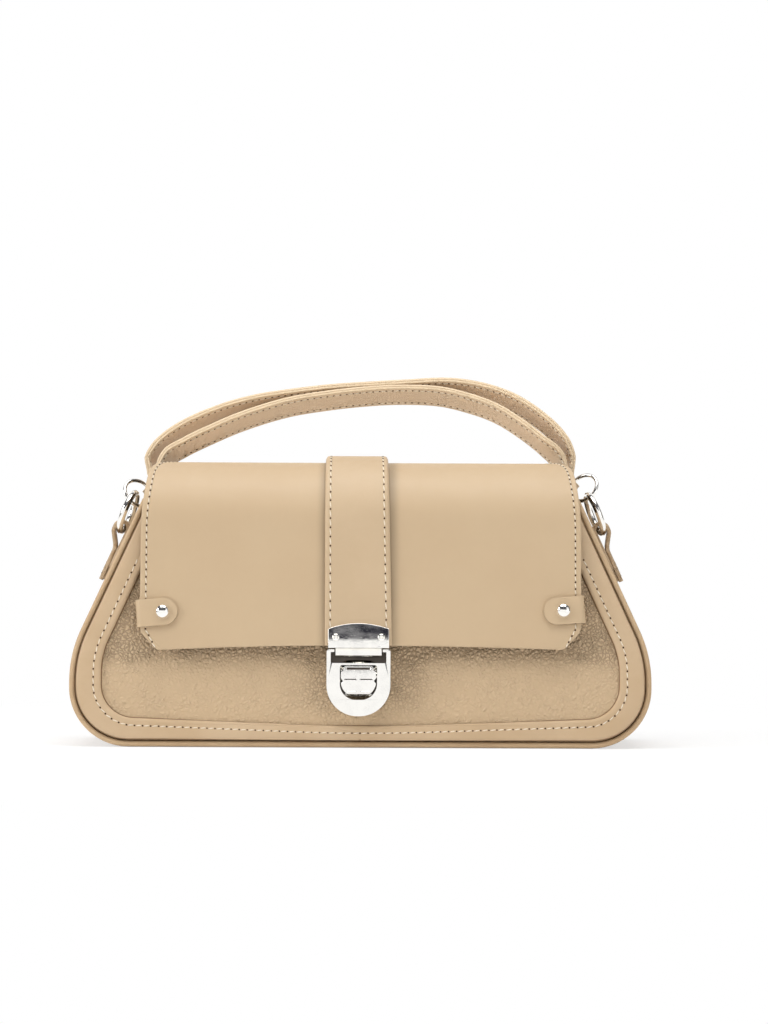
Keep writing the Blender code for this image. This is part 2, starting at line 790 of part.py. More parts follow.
def lock_base():
    """A U shaped plate with an open-topped window, over a cut-out for the button."""
    outline = [
        (-THROAT_HALF_WIDTH, LOCK_TOP, 0),
        (-LOCK_HALF_WIDTH, LOCK_TOP, LOCK_TOP_RADIUS),
        (-LOCK_HALF_WIDTH, LOCK_BOTTOM, LOCK_HALF_WIDTH - SEAM_GAP),
        (LOCK_HALF_WIDTH, LOCK_BOTTOM, LOCK_HALF_WIDTH - SEAM_GAP),
        (LOCK_HALF_WIDTH, LOCK_TOP, LOCK_TOP_RADIUS),
        (THROAT_HALF_WIDTH, LOCK_TOP, 0),
        (THROAT_HALF_WIDTH, WINDOW_TOP, 0),
        (WINDOW_HALF_WIDTH, WINDOW_TOP, 0),
        (WINDOW_HALF_WIDTH, WINDOW_BOTTOM, 0),
        (-WINDOW_HALF_WIDTH, WINDOW_BOTTOM, 0),
        (-WINDOW_HALF_WIDTH, WINDOW_TOP, 0),
        (-THROAT_HALF_WIDTH, WINDOW_TOP, 0),
    ]
    opening = u_outline(OPENING_HALF_WIDTH, OPENING_BOTTOM, OPENING_TOP, OPENING_RADIUS, OPENING_TOP_RADIUS)
    base = plate([rounded(outline), rounded(opening)], SEAM_GAP, LOCK_FRONT, FRONT)
    pocket = rounded(grown(opening, POCKET_MARGIN))
    low_limit = min(WINDOW_BOTTOM - BUTTON_GAP, OPENING_TOP + POCKET_MARGIN)
    pocket = [(x, min(y, low_limit)) for x, y in pocket]
    recess = as_cutter(plate([pocket], SEAM_GAP - OVERRUN, SEAM_GAP + POCKET_DEPTH, FRONT), "lock_recess")
    finished(cut(softened(base, LOCK_ROUND), recess), "lock_base", CHROME)


def button_cutter(corners, depth):
    """A cutter that reaches a depth under the button's front."""
    floor = LOCK_FRONT + BUTTON_STANDOFF - depth
    return as_cutter(plate([corners], floor, floor + depth + OVERRUN, FRONT), "button_cutter")


def button_cutters(half_width, height):
    """The waist notches, the narrow neck with its slot, and two rows of short grooves."""
    body_depth = LOCK_THICKNESS - 2 * BUTTON_FLANGE - SEAM_GAP
    notch = BUTTON_BOTTOM + height * NOTCH_SHARE
    neck = BUTTON_BOTTOM + height * NECK_SHARE
    shoulder = BUTTON_BOTTOM + height * NECK_SHOULDER_SHARE
    top = BUTTON_BOTTOM + height
    beyond = half_width + OVERRUN
    waist = half_width - NOTCH_DEPTH
    neck_half = half_width * NECK_HALF_SHARE
    cutters = []
    for side in (-1, 1):
        notch_corners = [
            (side * waist, notch),
            (side * beyond, notch - NOTCH_HALF_HEIGHT * (beyond - waist) / NOTCH_DEPTH),
            (side * beyond, notch + NOTCH_HALF_HEIGHT * (beyond - waist) / NOTCH_DEPTH),
        ]
        neck_corners = [
            (side * beyond, shoulder - (neck - shoulder) * OVERRUN / (half_width - neck_half)),
            (side * neck_half, neck),
            (side * neck_half, top + OVERRUN),
            (side * beyond, top + OVERRUN),
        ]
        cutters += [button_cutter(corners, body_depth) for corners in (notch_corners, neck_corners)]
        for row in (0, 1):
            low = BUTTON_BOTTOM + height / 2 - row * RIB_SPACING
            inner = side * half_width * RIB_EDGE_SHARE / 2
            outer = side * half_width * (1 - RIB_EDGE_SHARE)
            slot = [(inner, low), (outer, low), (outer, low + RIB_WIDTH), (inner, low + RIB_WIDTH)]
            cutters.append(button_cutter(slot, RIB_DEPTH))
    slot_half = half_width * NECK_SLOT_SHARE
    slot = [(-slot_half, neck), (slot_half, neck), (slot_half, top - RIB_WIDTH / 2), (-slot_half, top - RIB_WIDTH / 2)]
    return cutters + [button_cutter(slot, NECK_SLOT_DEPTH)]


def lock_button(carrier):
    """The ridged button, on a flange that keeps it behind the base plate."""
    half_width = OPENING_HALF_WIDTH - BUTTON_GAP
    top = OPENING_TOP - BUTTON_GAP
    below = BUTTON_BOTTOM - BUTTON_CHORD_RISE
    face = rounded(u_outline(half_width, below, top, BUTTON_RADIUS, BUTTON_TOP_RADIUS))
    chord = BUTTON_RADIUS - BUTTON_CHORD_RISE
    reach = half_width - BUTTON_RADIUS + sqrt(BUTTON_RADIUS**2 - chord**2)
    face = [point for point in face if point.y > BUTTON_BOTTOM]
    middle = next(i for i, point in enumerate(face) if point.x > 0)
    face[middle:middle] = [(-reach, BUTTON_BOTTOM), (reach, BUTTON_BOTTOM)]
    flange = u_outline(
        half_width + BUTTON_FLANGE_MARGIN,
        BUTTON_BOTTOM - BUTTON_FLANGE_MARGIN / 4,
        top - BUTTON_FLANGE_MARGIN / 2,
        BUTTON_RADIUS,
        BUTTON_TOP_RADIUS,
    )
    low = 2 * SEAM_GAP
    body = plate([face], low + BUTTON_FLANGE / 2, LOCK_FRONT + BUTTON_STANDOFF, FRONT)
    skirt = as_cutter(plate([rounded(flange)], low, low + BUTTON_FLANGE, FRONT), "button_flange")
    join = body.modifiers.new("flange", "BOOLEAN")
    join.operation = "UNION"
    join.object = skirt
    cutters = button_cutters(half_width, top - BUTTON_BOTTOM)
    finished(cut(body, *cutters), "lock_button", CHROME, carrier=carrier)


def lock_back_plate():
    corners = u_outline(
        LOCK_HALF_WIDTH - BACK_PLATE_MARGIN,
        LOCK_BOTTOM + BACK_PLATE_MARGIN,
        LOCK_TOP - BACK_PLATE_MARGIN,
        LOCK_HALF_WIDTH / 2,
        LOCK_TOP_RADIUS,
    )
    high = LINING_FRONT - LINING - SEAM_GAP
    finished(plate([rounded(corners)], high - BACK_PLATE_THICKNESS, high, FRONT), "lock_back_plate", DARK_STEEL)


def tongue_plate(carrier):
    """The arched plate on the flap, folded under its edge into the tongue and its lip."""
    ledge_top = FLAP_BOTTOM - SEAM_GAP
    bottom = ledge_top - TONGUE_LEDGE
    arch = []
    for step in range(TONGUE_PLATE_ARCH_STEPS + 1):
        side = 1 - 2 * step / TONGUE_PLATE_ARCH_STEPS
        height = TONGUE_PLATE_TOP + TONGUE_PLATE_ARCH * (1 - side**2)
        arch.append((side * TONGUE_PLATE_HALF_WIDTH, height))
    outline = [(-TONGUE_PLATE_HALF_WIDTH, bottom), (TONGUE_PLATE_HALF_WIDTH, bottom)] + arch
    holes = [
        ring_of(SCREW_SHANK_RADIUS + SEAM_GAP, side * SCREW_SPREAD, SCREW_HEIGHT, ROUND_STEPS // 2)
        for side in (-1, 1)
    ]
    plate_part = plate([outline, *holes], TONGUE_PLATE_LOW, TONGUE_PLATE_FRONT, FRONT)

    tongue_low = LOCK_FRONT - TONGUE_THICKNESS
    lip_low = tongue_low - TONGUE_LIP
    # The tongue's section, in the plane across the bag's width
    section = [
        (lip_low, TONGUE_BOTTOM),
        (LOCK_FRONT, TONGUE_BOTTOM),
        (LOCK_FRONT, bottom + TONGUE_LEDGE / 4),
        (TONGUE_PLATE_LOW + TONGUE_PLATE_THICKNESS / 2, bottom + TONGUE_LEDGE / 4),
        (TONGUE_PLATE_LOW + TONGUE_PLATE_THICKNESS / 2, ledge_top),
        (tongue_low, ledge_top),
        (tongue_low, TONGUE_BOTTOM + TONGUE_LIP_HEIGHT),
        (lip_low, TONGUE_BOTTOM + TONGUE_LIP_HEIGHT),
    ]
    sideways = FRONT @ frame_of((0, 0, 1), (0, 1, 0), (0, 0, 0))
    tongue = plate([section], -TONGUE_HALF_WIDTH, TONGUE_HALF_WIDTH, sideways)
    tongue = as_cutter(tongue, "tongue_section")
    join = plate_part.modifiers.new("tongue", "BOOLEAN")
    join.operation = "UNION"
    join.object = tongue
    finished(plate_part, "lock_tongue_plate", CHROME, carrier=carrier)

    corners = [
        (-BACKING_HALF_WIDTH, BACKING_BOTTOM, LOCK_TOP_RADIUS),
        (BACKING_HALF_WIDTH, BACKING_BOTTOM, LOCK_TOP_RADIUS),
        (BACKING_HALF_WIDTH, BACKING_TOP, LOCK_TOP_RADIUS),
        (-BACKING_HALF_WIDTH, BACKING_TOP, LOCK_TOP_RADIUS),
    ]
    high = FLAP_LINING_LOW - SEAM_GAP
    backing = plate([rounded(corners), *holes], high - BACKING_THICKNESS, high, FRONT)
    finished(backing, "lock_tongue_backing", DARK_STEEL, carrier=carrier)


def lock_screws(carrier):
    tail = FLAP_LINING_LOW - SEAM_GAP - BACKING_THICKNESS
    head = TONGUE_PLATE_FRONT + SEAM_GAP
    profile = dome(SCREW_HEAD_RADIUS, SCREW_HEAD_HEIGHT, head, 3)
    profile += [(SCREW_SHANK_RADIUS, head), (SCREW_SHANK_RADIUS, tail), (0, tail)]
    for side, name in ((-1, "left"), (1, "right")):
        place = FRONT @ Matrix.Translation((side * SCREW_SPREAD, SCREW_HEIGHT, 0))
        finished(turned(profile, place), f"lock_screw_{name}", CHROME, carrier=carrier)


def side_tabs(carrier, holes):
    """Each tab lies on the flap, turns round its edge and comes back behind it."""
    outside = STRAP_OUTSIDE
    inside = FLAP_LINING_LOW - SEAM_GAP - THIN_LEATHER
    edge = FLAP_HALF_WIDTH + TAB_EDGE_ROOM + THIN_LEATHER
    radius = TAB_EDGE_RADIUS
    for side, name in ((-1, "left"), (1, "right")):
        corners = [(TAB_REAR_END, inside, 0), (edge, inside, radius), (edge, outside, radius)]
        corners += [(TAB_INNER_END + TAB_HALF_HEIGHT + THIN_LEATHER, outside, 0), (TAB_INNER_END, outside, 0)]
        run = rounded(corners, closed=False, arc_step=COARSE_ARC_STEP)
        last = len(run) - 1

        def place(row, height, run=run, last=last, side=side):
            point = run[row]
            across = point.x
            if row == last:
                across += TAB_HALF_HEIGHT * (1 - sqrt(1 - height**2))
            return FRONT @ Vector((side * across, TAB_CENTRE_HEIGHT + height * TAB_HALF_HEIGHT, point.y))

        tab = cut(sheet(len(run), 2 * TAB_END_ROWS, place, THIN_LEATHER, -side), *holes)
        finished(tab, f"side_tab_{name}", SMOOTH_LEATHER, carrier=carrier)

        head = STRAP_OUTSIDE + SEAM_GAP
        tail = inside - SEAM_GAP
        profile = dome(RIVET_HEAD_RADIUS, RIVET_HEAD_HEIGHT, head + RIVET_RIM)
        profile += [(RIVET_HEAD_RADIUS, head), (RIVET_SHANK_RADIUS, head), (RIVET_SHANK_RADIUS, tail)]
        profile += [(RIVET_TAIL_RADIUS, tail), (RIVET_TAIL_RADIUS, tail - RIVET_TAIL_HEIGHT)]
        profile += [(0, tail - RIVET_TAIL_HEIGHT)]
        spot = FRONT @ Matrix.Translation((side * RIVET_PLACE, TAB_CENTRE_HEIGHT, 0))
        finished(turned(profile, spot), f"side_rivet_{name}", CHROME, carrier=carrier)


def side_frame(side):
    """A frame on the gusset's outer face at mid depth: out, up along it, and forwards."""
    slope = (BODY_HALF_WIDTH - BODY_TOP_HALF_WIDTH) / (PANEL_HEIGHT - KNEE_HEIGHT)
    low = grown(body_run(), GUSSET_OUTSIDE, closed=False)[-2]
    start = FRONT @ Vector((low[0], low[1], GUSSET_EDGE))
    rise = Vector((-slope * side, 0, cos(LEAN))).normalized()
    out = Vector((rise.z * side, 0, -rise.x * side))
    frame = frame_of(out, rise, (start.x * side, 0, start.z))
    return frame, start.z


def tab_ring_base():
    """Where the middle of a tab ring's lowest wire lies, out from and up the gusset."""
    frame, start = side_frame(1)
    up = (TAB_RING_HEIGHT - start) / frame.col[1].z
    return TAB_RING_STANDOFF, up


def ring_tabs():
    """A strip folded round the ring, with both its ends sewn to the gusset."""
    out, up = tab_ring_base()
    slack = TAB_RING_RADIUS - sqrt(TAB_RING_RADIUS**2 - RING_TAB_HALF_WIDTH**2)
    bore = TAB_RING_WIRE + 3 * SEAM_GAP
    shell = bore + RING_TAB_PLY
    for side, name in ((-1, "left"), (1, "right")):
        frame, start = side_frame(side)
        low = (RING_TAB_LOW - start) / frame.col[1].z
        high = up + slack
        outline = [
            (SEAM_GAP, low, RING_TAB_END_RADIUS),
            (SEAM_GAP + RING_TAB_THICKNESS, low, RING_TAB_END_RADIUS),
            (SEAM_GAP + RING_TAB_THICKNESS, up - 3 * shell, shell),
            (out + shell, up - shell, shell),
            (out + shell, high + shell, shell * 0.98),
            (max(SEAM_GAP, out - shell), high + shell, shell * 0.98),
            (max(SEAM_GAP, out - shell), up - shell, shell / 2),
        ]
        eye = [
            (out - bore / 2, up - 2 * bore, bore / 4),
            (out + bore, up - bore / 2, bore / 2),
            (out + bore, high + bore, bore * 0.98),
            (out - bore, high + bore, bore * 0.98),
            (out - bore, up - bore / 2, bore / 2),
        ]
        tab = plate([rounded(outline), rounded(eye)], -RING_TAB_HALF_WIDTH, RING_TAB_HALF_WIDTH, frame)
        finished(tab, f"ring_tab_{name}", BAND_LEATHER)


def torus(radius, wire, frame):
    bpy.ops.mesh.primitive_torus_add(
        major_radius=radius, minor_radius=wire, major_segments=TORUS_TURNS, minor_segments=TORUS_SIDES
    )
    ring = bpy.context.active_object
    ring.data.transform(frame)
    return ring


def tab_ring_frame(side):
    """The ring's own plane: X to the front of the bag, Y up the ring, Z its axis."""
    out, up = tab_ring_base()
    frame, _ = side_frame(side)
    foot = frame @ Vector((out, up, 0))
    rise = Vector((-sin(TAB_RING_TILT) * side, 0, cos(TAB_RING_TILT)))
    ahead = Vector((sin(TAB_RING_YAW) * cos(TAB_RING_TILT) * side, -cos(TAB_RING_YAW), sin(TAB_RING_YAW) * sin(TAB_RING_TILT)))
    return frame_of(ahead, rise, foot + rise * TAB_RING_RADIUS)


def link_point():
    """Where the right handle ring's wire passes through the tab ring."""
    ring = tab_ring_frame(1)
    reach = TAB_RING_RADIUS - TAB_RING_WIRE - HANDLE_RING_WIRE - RING_LINK_GAP
    return ring @ Vector((0, reach, 0))


def tab_rings():
    for side, name in ((-1, "left"), (1, "right")):
        frame = tab_ring_frame(side)
        centre = axis_empty(f"tab_ring_axis_{name}", Matrix.Translation(frame.translation))
        ring = torus(TAB_RING_RADIUS, TAB_RING_WIRE, frame)
        finished(ring, f"tab_ring_{name}", CHROME, carrier=centre)


LINK = link_point()
HANDLE = Matrix.Translation((0, LINK.y, LINK.z)) @ Matrix.Rotation(-HANDLE_LEAN, 4, "X")


def mirrored(vector, side):
    return Vector((vector.x * side, vector.y, vector.z))


def handle_ring_side():
    """The direction across a right handle ring, outwards and forwards."""
    return Vector((sin(HANDLE_RING_YAW), -cos(HANDLE_RING_YAW), 0))


def handle_ring_centre():
    turn = HANDLE_RING_LINK_TURN
    reach = handle_ring_side() * sin(turn) + Vector((0, 0, cos(turn)))
    return Vector((LINK.x, 0, 0)) - reach * HANDLE_RING_RADIUS


def handle_rings(carrier):
    for side, name in ((-1, "left"), (1, "right")):
        across = mirrored(handle_ring_side(), side)
        frame = frame_of(across, (0, 0, 1), mirrored(handle_ring_centre(), side))
        ring = torus(HANDLE_RING_RADIUS, HANDLE_RING_WIRE, HANDLE @ frame)
        finished(ring, f"handle_ring_{name}", CHROME, carrier=carrier)


def handle_loop():
    """The loop at a right strap end: its middle, its axis, and its ways up and out."""
    turn = HANDLE_LOOP_TURN
    side, rise = handle_ring_side(), Vector((0, 0, 1))
    slack = HANDLE_RING_RADIUS - sqrt(HANDLE_RING_RADIUS**2 - HANDLE_END_HALF_WIDTH**2)
    seat = HANDLE_LOOP_RADIUS - HANDLE_RING_WIRE - SEAM_GAP - slack
    middle = handle_ring_centre() + (side * sin(turn) + rise * cos(turn)) * (HANDLE_RING_RADIUS + seat)
    axis = side * cos(turn) - rise * sin(turn)
    up = (rise - axis * rise.dot(axis)).normalized()
    out = -axis.cross(up)
    return middle, axis, up, out


def strap_path(route, level, start):
    """The outer face's path over the arch, with loop-side ends at a level from the loop."""
    middle, _, up, out = handle_loop()
    ends = [middle + out * level + up * reach for reach in (start, (start + HANDLE_STRAIGHT) / 2, HANDLE_STRAIGHT)]
    set_back = ends[-1].y
    span = link_point().x * HANDLE_SPAN_SHARE
    points = [mirrored(end, -1) for end in ends]
    for across, rise, back in route:
        points.append(Vector((across * span, back * set_back, rise * HANDLE_RISE)))
    points += reversed(ends)
    return [Vector(point) for point in smoothed(points, HANDLE_STEPS)]


def strap_sides(path):
    """For each path point, the way to the strap's front edge and its half width there."""
    _, axis, _, _ = handle_loop()
    lengths = [0.0]
    for first, second in zip(path, path[1:]):
        lengths.append(lengths[-1] + (second - first).length)
    sides = []
    for at in lengths:
        left, right = at, lengths[-1] - at
        near = min(left, right)
        share = min(1, near / HANDLE_TWIST_LENGTH)
        share = share * share * (3 - 2 * share)
        end = mirrored(axis, -1 if left < right else 1)
        way = (end * (1 - share) + Vector((0, -1, 0)) * share).normalized()
        half = HANDLE_END_HALF_WIDTH + (HANDLE_HALF_WIDTH - HANDLE_END_HALF_WIDTH) * share
        sides.append((way, half))
    return sides


def inward_offsets(path, sides, distance):
    """The path moved by a distance towards the inside of the arch, square to the strap."""
    moved = []
    last = len(path) - 1
    for i, (point, (way, _)) in enumerate(zip(path, sides)):
        before = (path[max(1, i)] - path[max(1, i) - 1]).cross(way).normalized()
        after = (path[min(last, i + 1)] - path[min(last, i + 1) - 1]).cross(way).normalized()
        moved.append(point + (before + after) * distance / (1 + before.dot(after)))
    return moved


def ribbon(path, sides, columns=1):
    def place(row, share):
        way, half = sides[row]
        return HANDLE @ (path[row] + way * half * share)

    return sheet(len(path), columns, place, HANDLE_PLY, -1)


def loop_stations():
    """The leather's turn round the right ring, from its tongue's tip to its outside."""
    middle, axis, up, out = handle_loop()
    radius = HANDLE_LOOP_RADIUS + HANDLE_PLY
    stations = [middle - out * radius + up * HANDLE_TONGUE]
    steps = ROUND_STEPS // 2
    for step in range(steps + 1):
        turn = pi * step / steps
        stations.append(middle - out * radius * cos(turn) - up * radius * sin(turn))
    return [(station, axis, HANDLE_END_HALF_WIDTH) for station in stations]


def handle_straps(carrier):
    loop_outside = HANDLE_LOOP_RADIUS + HANDLE_PLY
    step = HANDLE_PLY + HANDLE_PLY_GAP
    outer = strap_path(OUTER_ROUTE_SHARES, loop_outside, HANDLE_END_START)
    outer_sides = strap_sides(outer)
    loop = loop_stations()
    left = [(mirrored(place, -1), mirrored(way, -1), half) for place, way, half in loop]
    whole = left + [(place, *sides) for place, sides in zip(outer, outer_sides)] + loop[::-1]
    leather = ribbon([place for place, _, _ in whole], [(way, half) for _, way, half in whole], 2)
    lining = ribbon(inward_offsets(outer, outer_sides, step), outer_sides, 2)
    stud_hole, stud_frame = stud_place(outer, outer_sides)
    finished(cut(flat_faced(leather), stud_hole), "handle_outer_leather", SMOOTH_LEATHER, carrier=carrier)
    finished(cut(flat_faced(lining), stud_hole), "handle_outer_lining", SUEDE, carrier=carrier)

    inner = strap_path(INNER_ROUTE_SHARES, loop_outside - 2 * step + HANDLE_PLY_GAP - HANDLE_PAIR_GAP, HANDLE_END_START)
    inner_sides = strap_sides(inner)
    finished(ribbon(inner, inner_sides), "handle_inner_leather", SMOOTH_LEATHER, carrier=carrier)
    below = inward_offsets(inner, inner_sides, step)
    finished(ribbon(below, inner_sides), "handle_inner_lining", SUEDE, carrier=carrier)
    handle_stud(carrier, stud_frame)


def stud_place(path, sides):
    """The hole for the stud near the outer strap's right end, and the stud's frame."""
    right = [i for i, point in enumerate(path) if point.x > 0]
    at = min(right, key=lambda i: abs(path[i].z - STUD_SHARE * HANDLE_RISE))
    along = (path[at + 1] - path[at - 1]).normalized()
    way = sides[at][0]
    frame = HANDLE @ frame_of(way - along * way.dot(along), along, path[at])
    outwards = (frame.to_3x3() @ Vector((0, 0, 1))).x > 0
    if not outwards:
        frame = frame @ Matrix.Rotation(pi, 4, "Y")
    depth = 2 * HANDLE_PLY + HANDLE_PLY_GAP + OVERRUN
    hole = plate([ring_of(STUD_SHANK_RADIUS + SEAM_GAP)], -depth, OVERRUN, frame)
    return as_cutter(hole, "stud_hole"), frame


def handle_stud(carrier, frame):
    head = STUD_SEAT
    tail = -2 * HANDLE_PLY - HANDLE_PLY_GAP - STUD_SEAT
    profile = dome(STUD_HEAD_RADIUS, STUD_HEAD_HEIGHT, head, 4)
    profile += [(STUD_SHANK_RADIUS, head), (STUD_SHANK_RADIUS, tail)]
    profile += [(STUD_HEAD_RADIUS, tail), (STUD_HEAD_RADIUS, tail - STUD_TAIL_HEIGHT), (0, tail - STUD_TAIL_HEIGHT)]
    finished(turned(profile, frame), "handle_stud", CHROME, carrier=carrier)


def shade_round_pieces():
    for obj in PARTS.objects:
        if obj.type == "MESH":
            obj.data.shade_smooth()
            obj.data.set_sharp_from_angle(angle=radians(35))


def build():
    flap_axis_height = FLAP_HEIGHT + SEAM_GAP + THIN_LEATHER
    flap_axis = axis_empty("flap_axis", Matrix.Translation((0, FLAP_HINGE_DEPTH, flap_axis_height)))
    button_axis = axis_empty("button_axis", FRONT @ Matrix.Translation((0, BUTTON_BOTTOM, LOCK_FRONT)))
    handle_axis = axis_empty("handle_axis", HANDLE)
    body_panels()
    border_band()
    piping()
    gusset()
    lining_pouch()
    base_board()
    holes = flap(flap_axis)
    centre_strap(flap_axis, holes)
    lock_base()
    lock_button(button_axis)
    lock_back_plate()
    tongue_plate(flap_axis)
    lock_screws(flap_axis)
    side_tabs(flap_axis, holes)
    ring_tabs()
    tab_rings()
    handle_rings(handle_axis)
    handle_straps(handle_axis)
    shade_round_pieces()


build()
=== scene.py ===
"""A small flap handbag in beige leather, with a push lock and a double handle on metal rings.

It is put together in the order in which a bag is made: body, lock, flap, rings, handle.
"""

from math import cos, exp, pi, radians, sin, sqrt, tan

import bmesh
import bpy
import numpy as np
from mathutils import Matrix, Vector


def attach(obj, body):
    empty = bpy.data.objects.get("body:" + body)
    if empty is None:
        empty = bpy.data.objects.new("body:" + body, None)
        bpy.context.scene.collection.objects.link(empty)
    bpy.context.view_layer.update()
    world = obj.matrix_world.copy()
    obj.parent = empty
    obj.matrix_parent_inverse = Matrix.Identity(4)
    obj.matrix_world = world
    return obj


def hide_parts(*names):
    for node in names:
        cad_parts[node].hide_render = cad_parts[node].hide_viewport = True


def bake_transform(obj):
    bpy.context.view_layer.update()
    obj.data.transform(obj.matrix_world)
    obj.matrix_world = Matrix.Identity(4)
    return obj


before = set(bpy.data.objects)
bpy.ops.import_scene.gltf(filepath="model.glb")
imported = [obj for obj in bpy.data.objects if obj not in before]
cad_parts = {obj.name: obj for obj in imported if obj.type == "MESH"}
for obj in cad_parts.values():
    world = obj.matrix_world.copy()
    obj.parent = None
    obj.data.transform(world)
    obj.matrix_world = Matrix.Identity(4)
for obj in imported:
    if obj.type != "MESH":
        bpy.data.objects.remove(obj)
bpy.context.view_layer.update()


# The grained front and back panels.
# Pebbled cowhide, backed and stiffened. The two panels lean towards each other, so every
# place on the front of the bag is given as across, up the panel and out of it.
SEAM_GAP = 0.0003
LEAN = radians(7.4)
PANEL_THICKNESS = 0.0014
PANEL_HEIGHT = 0.1210
BODY_HALF_WIDTH = 0.1430
BODY_TOP_HALF_WIDTH = 0.1075
KNEE_HEIGHT = 0.0430
BODY_SLOPE = (BODY_HALF_WIDTH - BODY_TOP_HALF_WIDTH) / (PANEL_HEIGHT - KNEE_HEIGHT)
SEAM_RISE = 0.003297
BASE_DEPTH = 0.0750

front = Matrix.Translation((0, -BASE_DEPTH / 2, SEAM_RISE))
front = front @ Matrix.Rotation(pi / 2 - LEAN, 4, "X")
back = Matrix.Rotation(pi, 4, "Z") @ front


class Signal:
    """An output of a node, with arithmetic that adds Math nodes."""

    def __init__(self, nodes, socket):
        self.nodes = nodes
        self.socket = socket

    def maths(self, operation, *others):
        sockets = dict(enumerate((self, *others)))
        return self.nodes.node("ShaderNodeMath", {"operation": operation}, sockets)

    def __add__(self, other):
        return self.maths("ADD", other)

    def __sub__(self, other):
        return self.maths("SUBTRACT", other)

    def __rsub__(self, other):
        return self.nodes.node("ShaderNodeMath", {"operation": "SUBTRACT"}, {0: other, 1: self})

    def __mul__(self, other):
        return self.maths("MULTIPLY", other)


def tone(*shown):
    """A colour of the finished leather or thread, from the 0 to 255 that a screen shows."""
    linear = [((c / 255 + 0.055) / 1.055) ** 2.4 if c > 10 else c / 255 / 12.92 for c in shown]
    return (*linear, 1)


def darker(tint, share):
    return [c * share for c in tint[:3]] + [1]


class Nodes:
    """A tree of shader nodes, with short calls for those that the looks are made of."""

    def __init__(self, tree):
        self.tree = tree

    def node(self, kind, settings=None, sockets=None, output=0):
        made = self.tree.nodes.new(kind)
        for key, value in (settings or {}).items():
            setattr(made, key, value)
        for key, value in (sockets or {}).items():
            if isinstance(value, Signal):
                self.tree.links.new(value.socket, made.inputs[key])
            else:
                made.inputs[key].default_value = value
        return Signal(self, made.outputs[output])

    def place(self):
        return self.node("ShaderNodeTexCoord", output="Object")

    def axis(self, vector, number):
        return self.node("ShaderNodeSeparateXYZ", None, {0: vector}, number)

    def vectors(self, operation, first, second=None, output=0):
        key = "Scale" if operation == "SCALE" else 1
        sockets = {0: first} if second is None else {0: first, key: second}
        return self.node("ShaderNodeVectorMath", {"operation": operation}, sockets, output)

    def noise(self, scale, detail=3, roughness=0.5, vector=None, output=0):
        sockets = {"Scale": scale, "Detail": detail, "Roughness": roughness}
        sockets["Vector"] = vector or self.place()
        return self.node("ShaderNodeTexNoise", None, sockets, output)

    def cells(self, feature, vector, size, **more):
        sockets = {"Vector": vector, "Scale": 1 / size, **more}
        return self.node("ShaderNodeTexVoronoi", {"feature": feature}, sockets, "Distance")

    def fit(self, value, low, high, to_low=0, to_high=1):
        sockets = {0: value, 1: low, 2: high, 3: to_low, 4: to_high}
        return self.node("ShaderNodeMapRange", {"interpolation_type": "SMOOTHSTEP"}, sockets)

    def blend(self, share, first, second):
        sockets = {0: share, 6: first, 7: second}
        return self.node("ShaderNodeMix", {"data_type": "RGBA"}, sockets, 2)

    def trait(self, name):
        """A number that the mesh carries, such as how near a point is to a cut edge."""
        return self.node("ShaderNodeAttribute", {"attribute_name": name}, output="Fac")


class Finish(Nodes):
    """One material, with what goes into its surface."""

    def __init__(self, name, **constants):
        self.material = bpy.data.materials.new(name)
        self.material.use_nodes = True
        super().__init__(self.material.node_tree)
        self.shader = self.tree.nodes["Principled BSDF"]
        for key, value in constants.items():
            key = key.replace("_", " ").title().replace("Ior", "IOR")
            self.shader.inputs[key].default_value = value

    def colour(self, signal):
        self.tree.links.new(signal.socket, self.shader.inputs["Base Color"])

    def roughness(self, signal):
        self.tree.links.new(signal.socket, self.shader.inputs["Roughness"])

    def relief(self, height, distance, strength=1):
        sockets = {"Height": height, "Distance": distance, "Strength": strength}
        bump = self.node("ShaderNodeBump", None, sockets)
        self.tree.links.new(bump.socket, self.shader.inputs["Normal"])


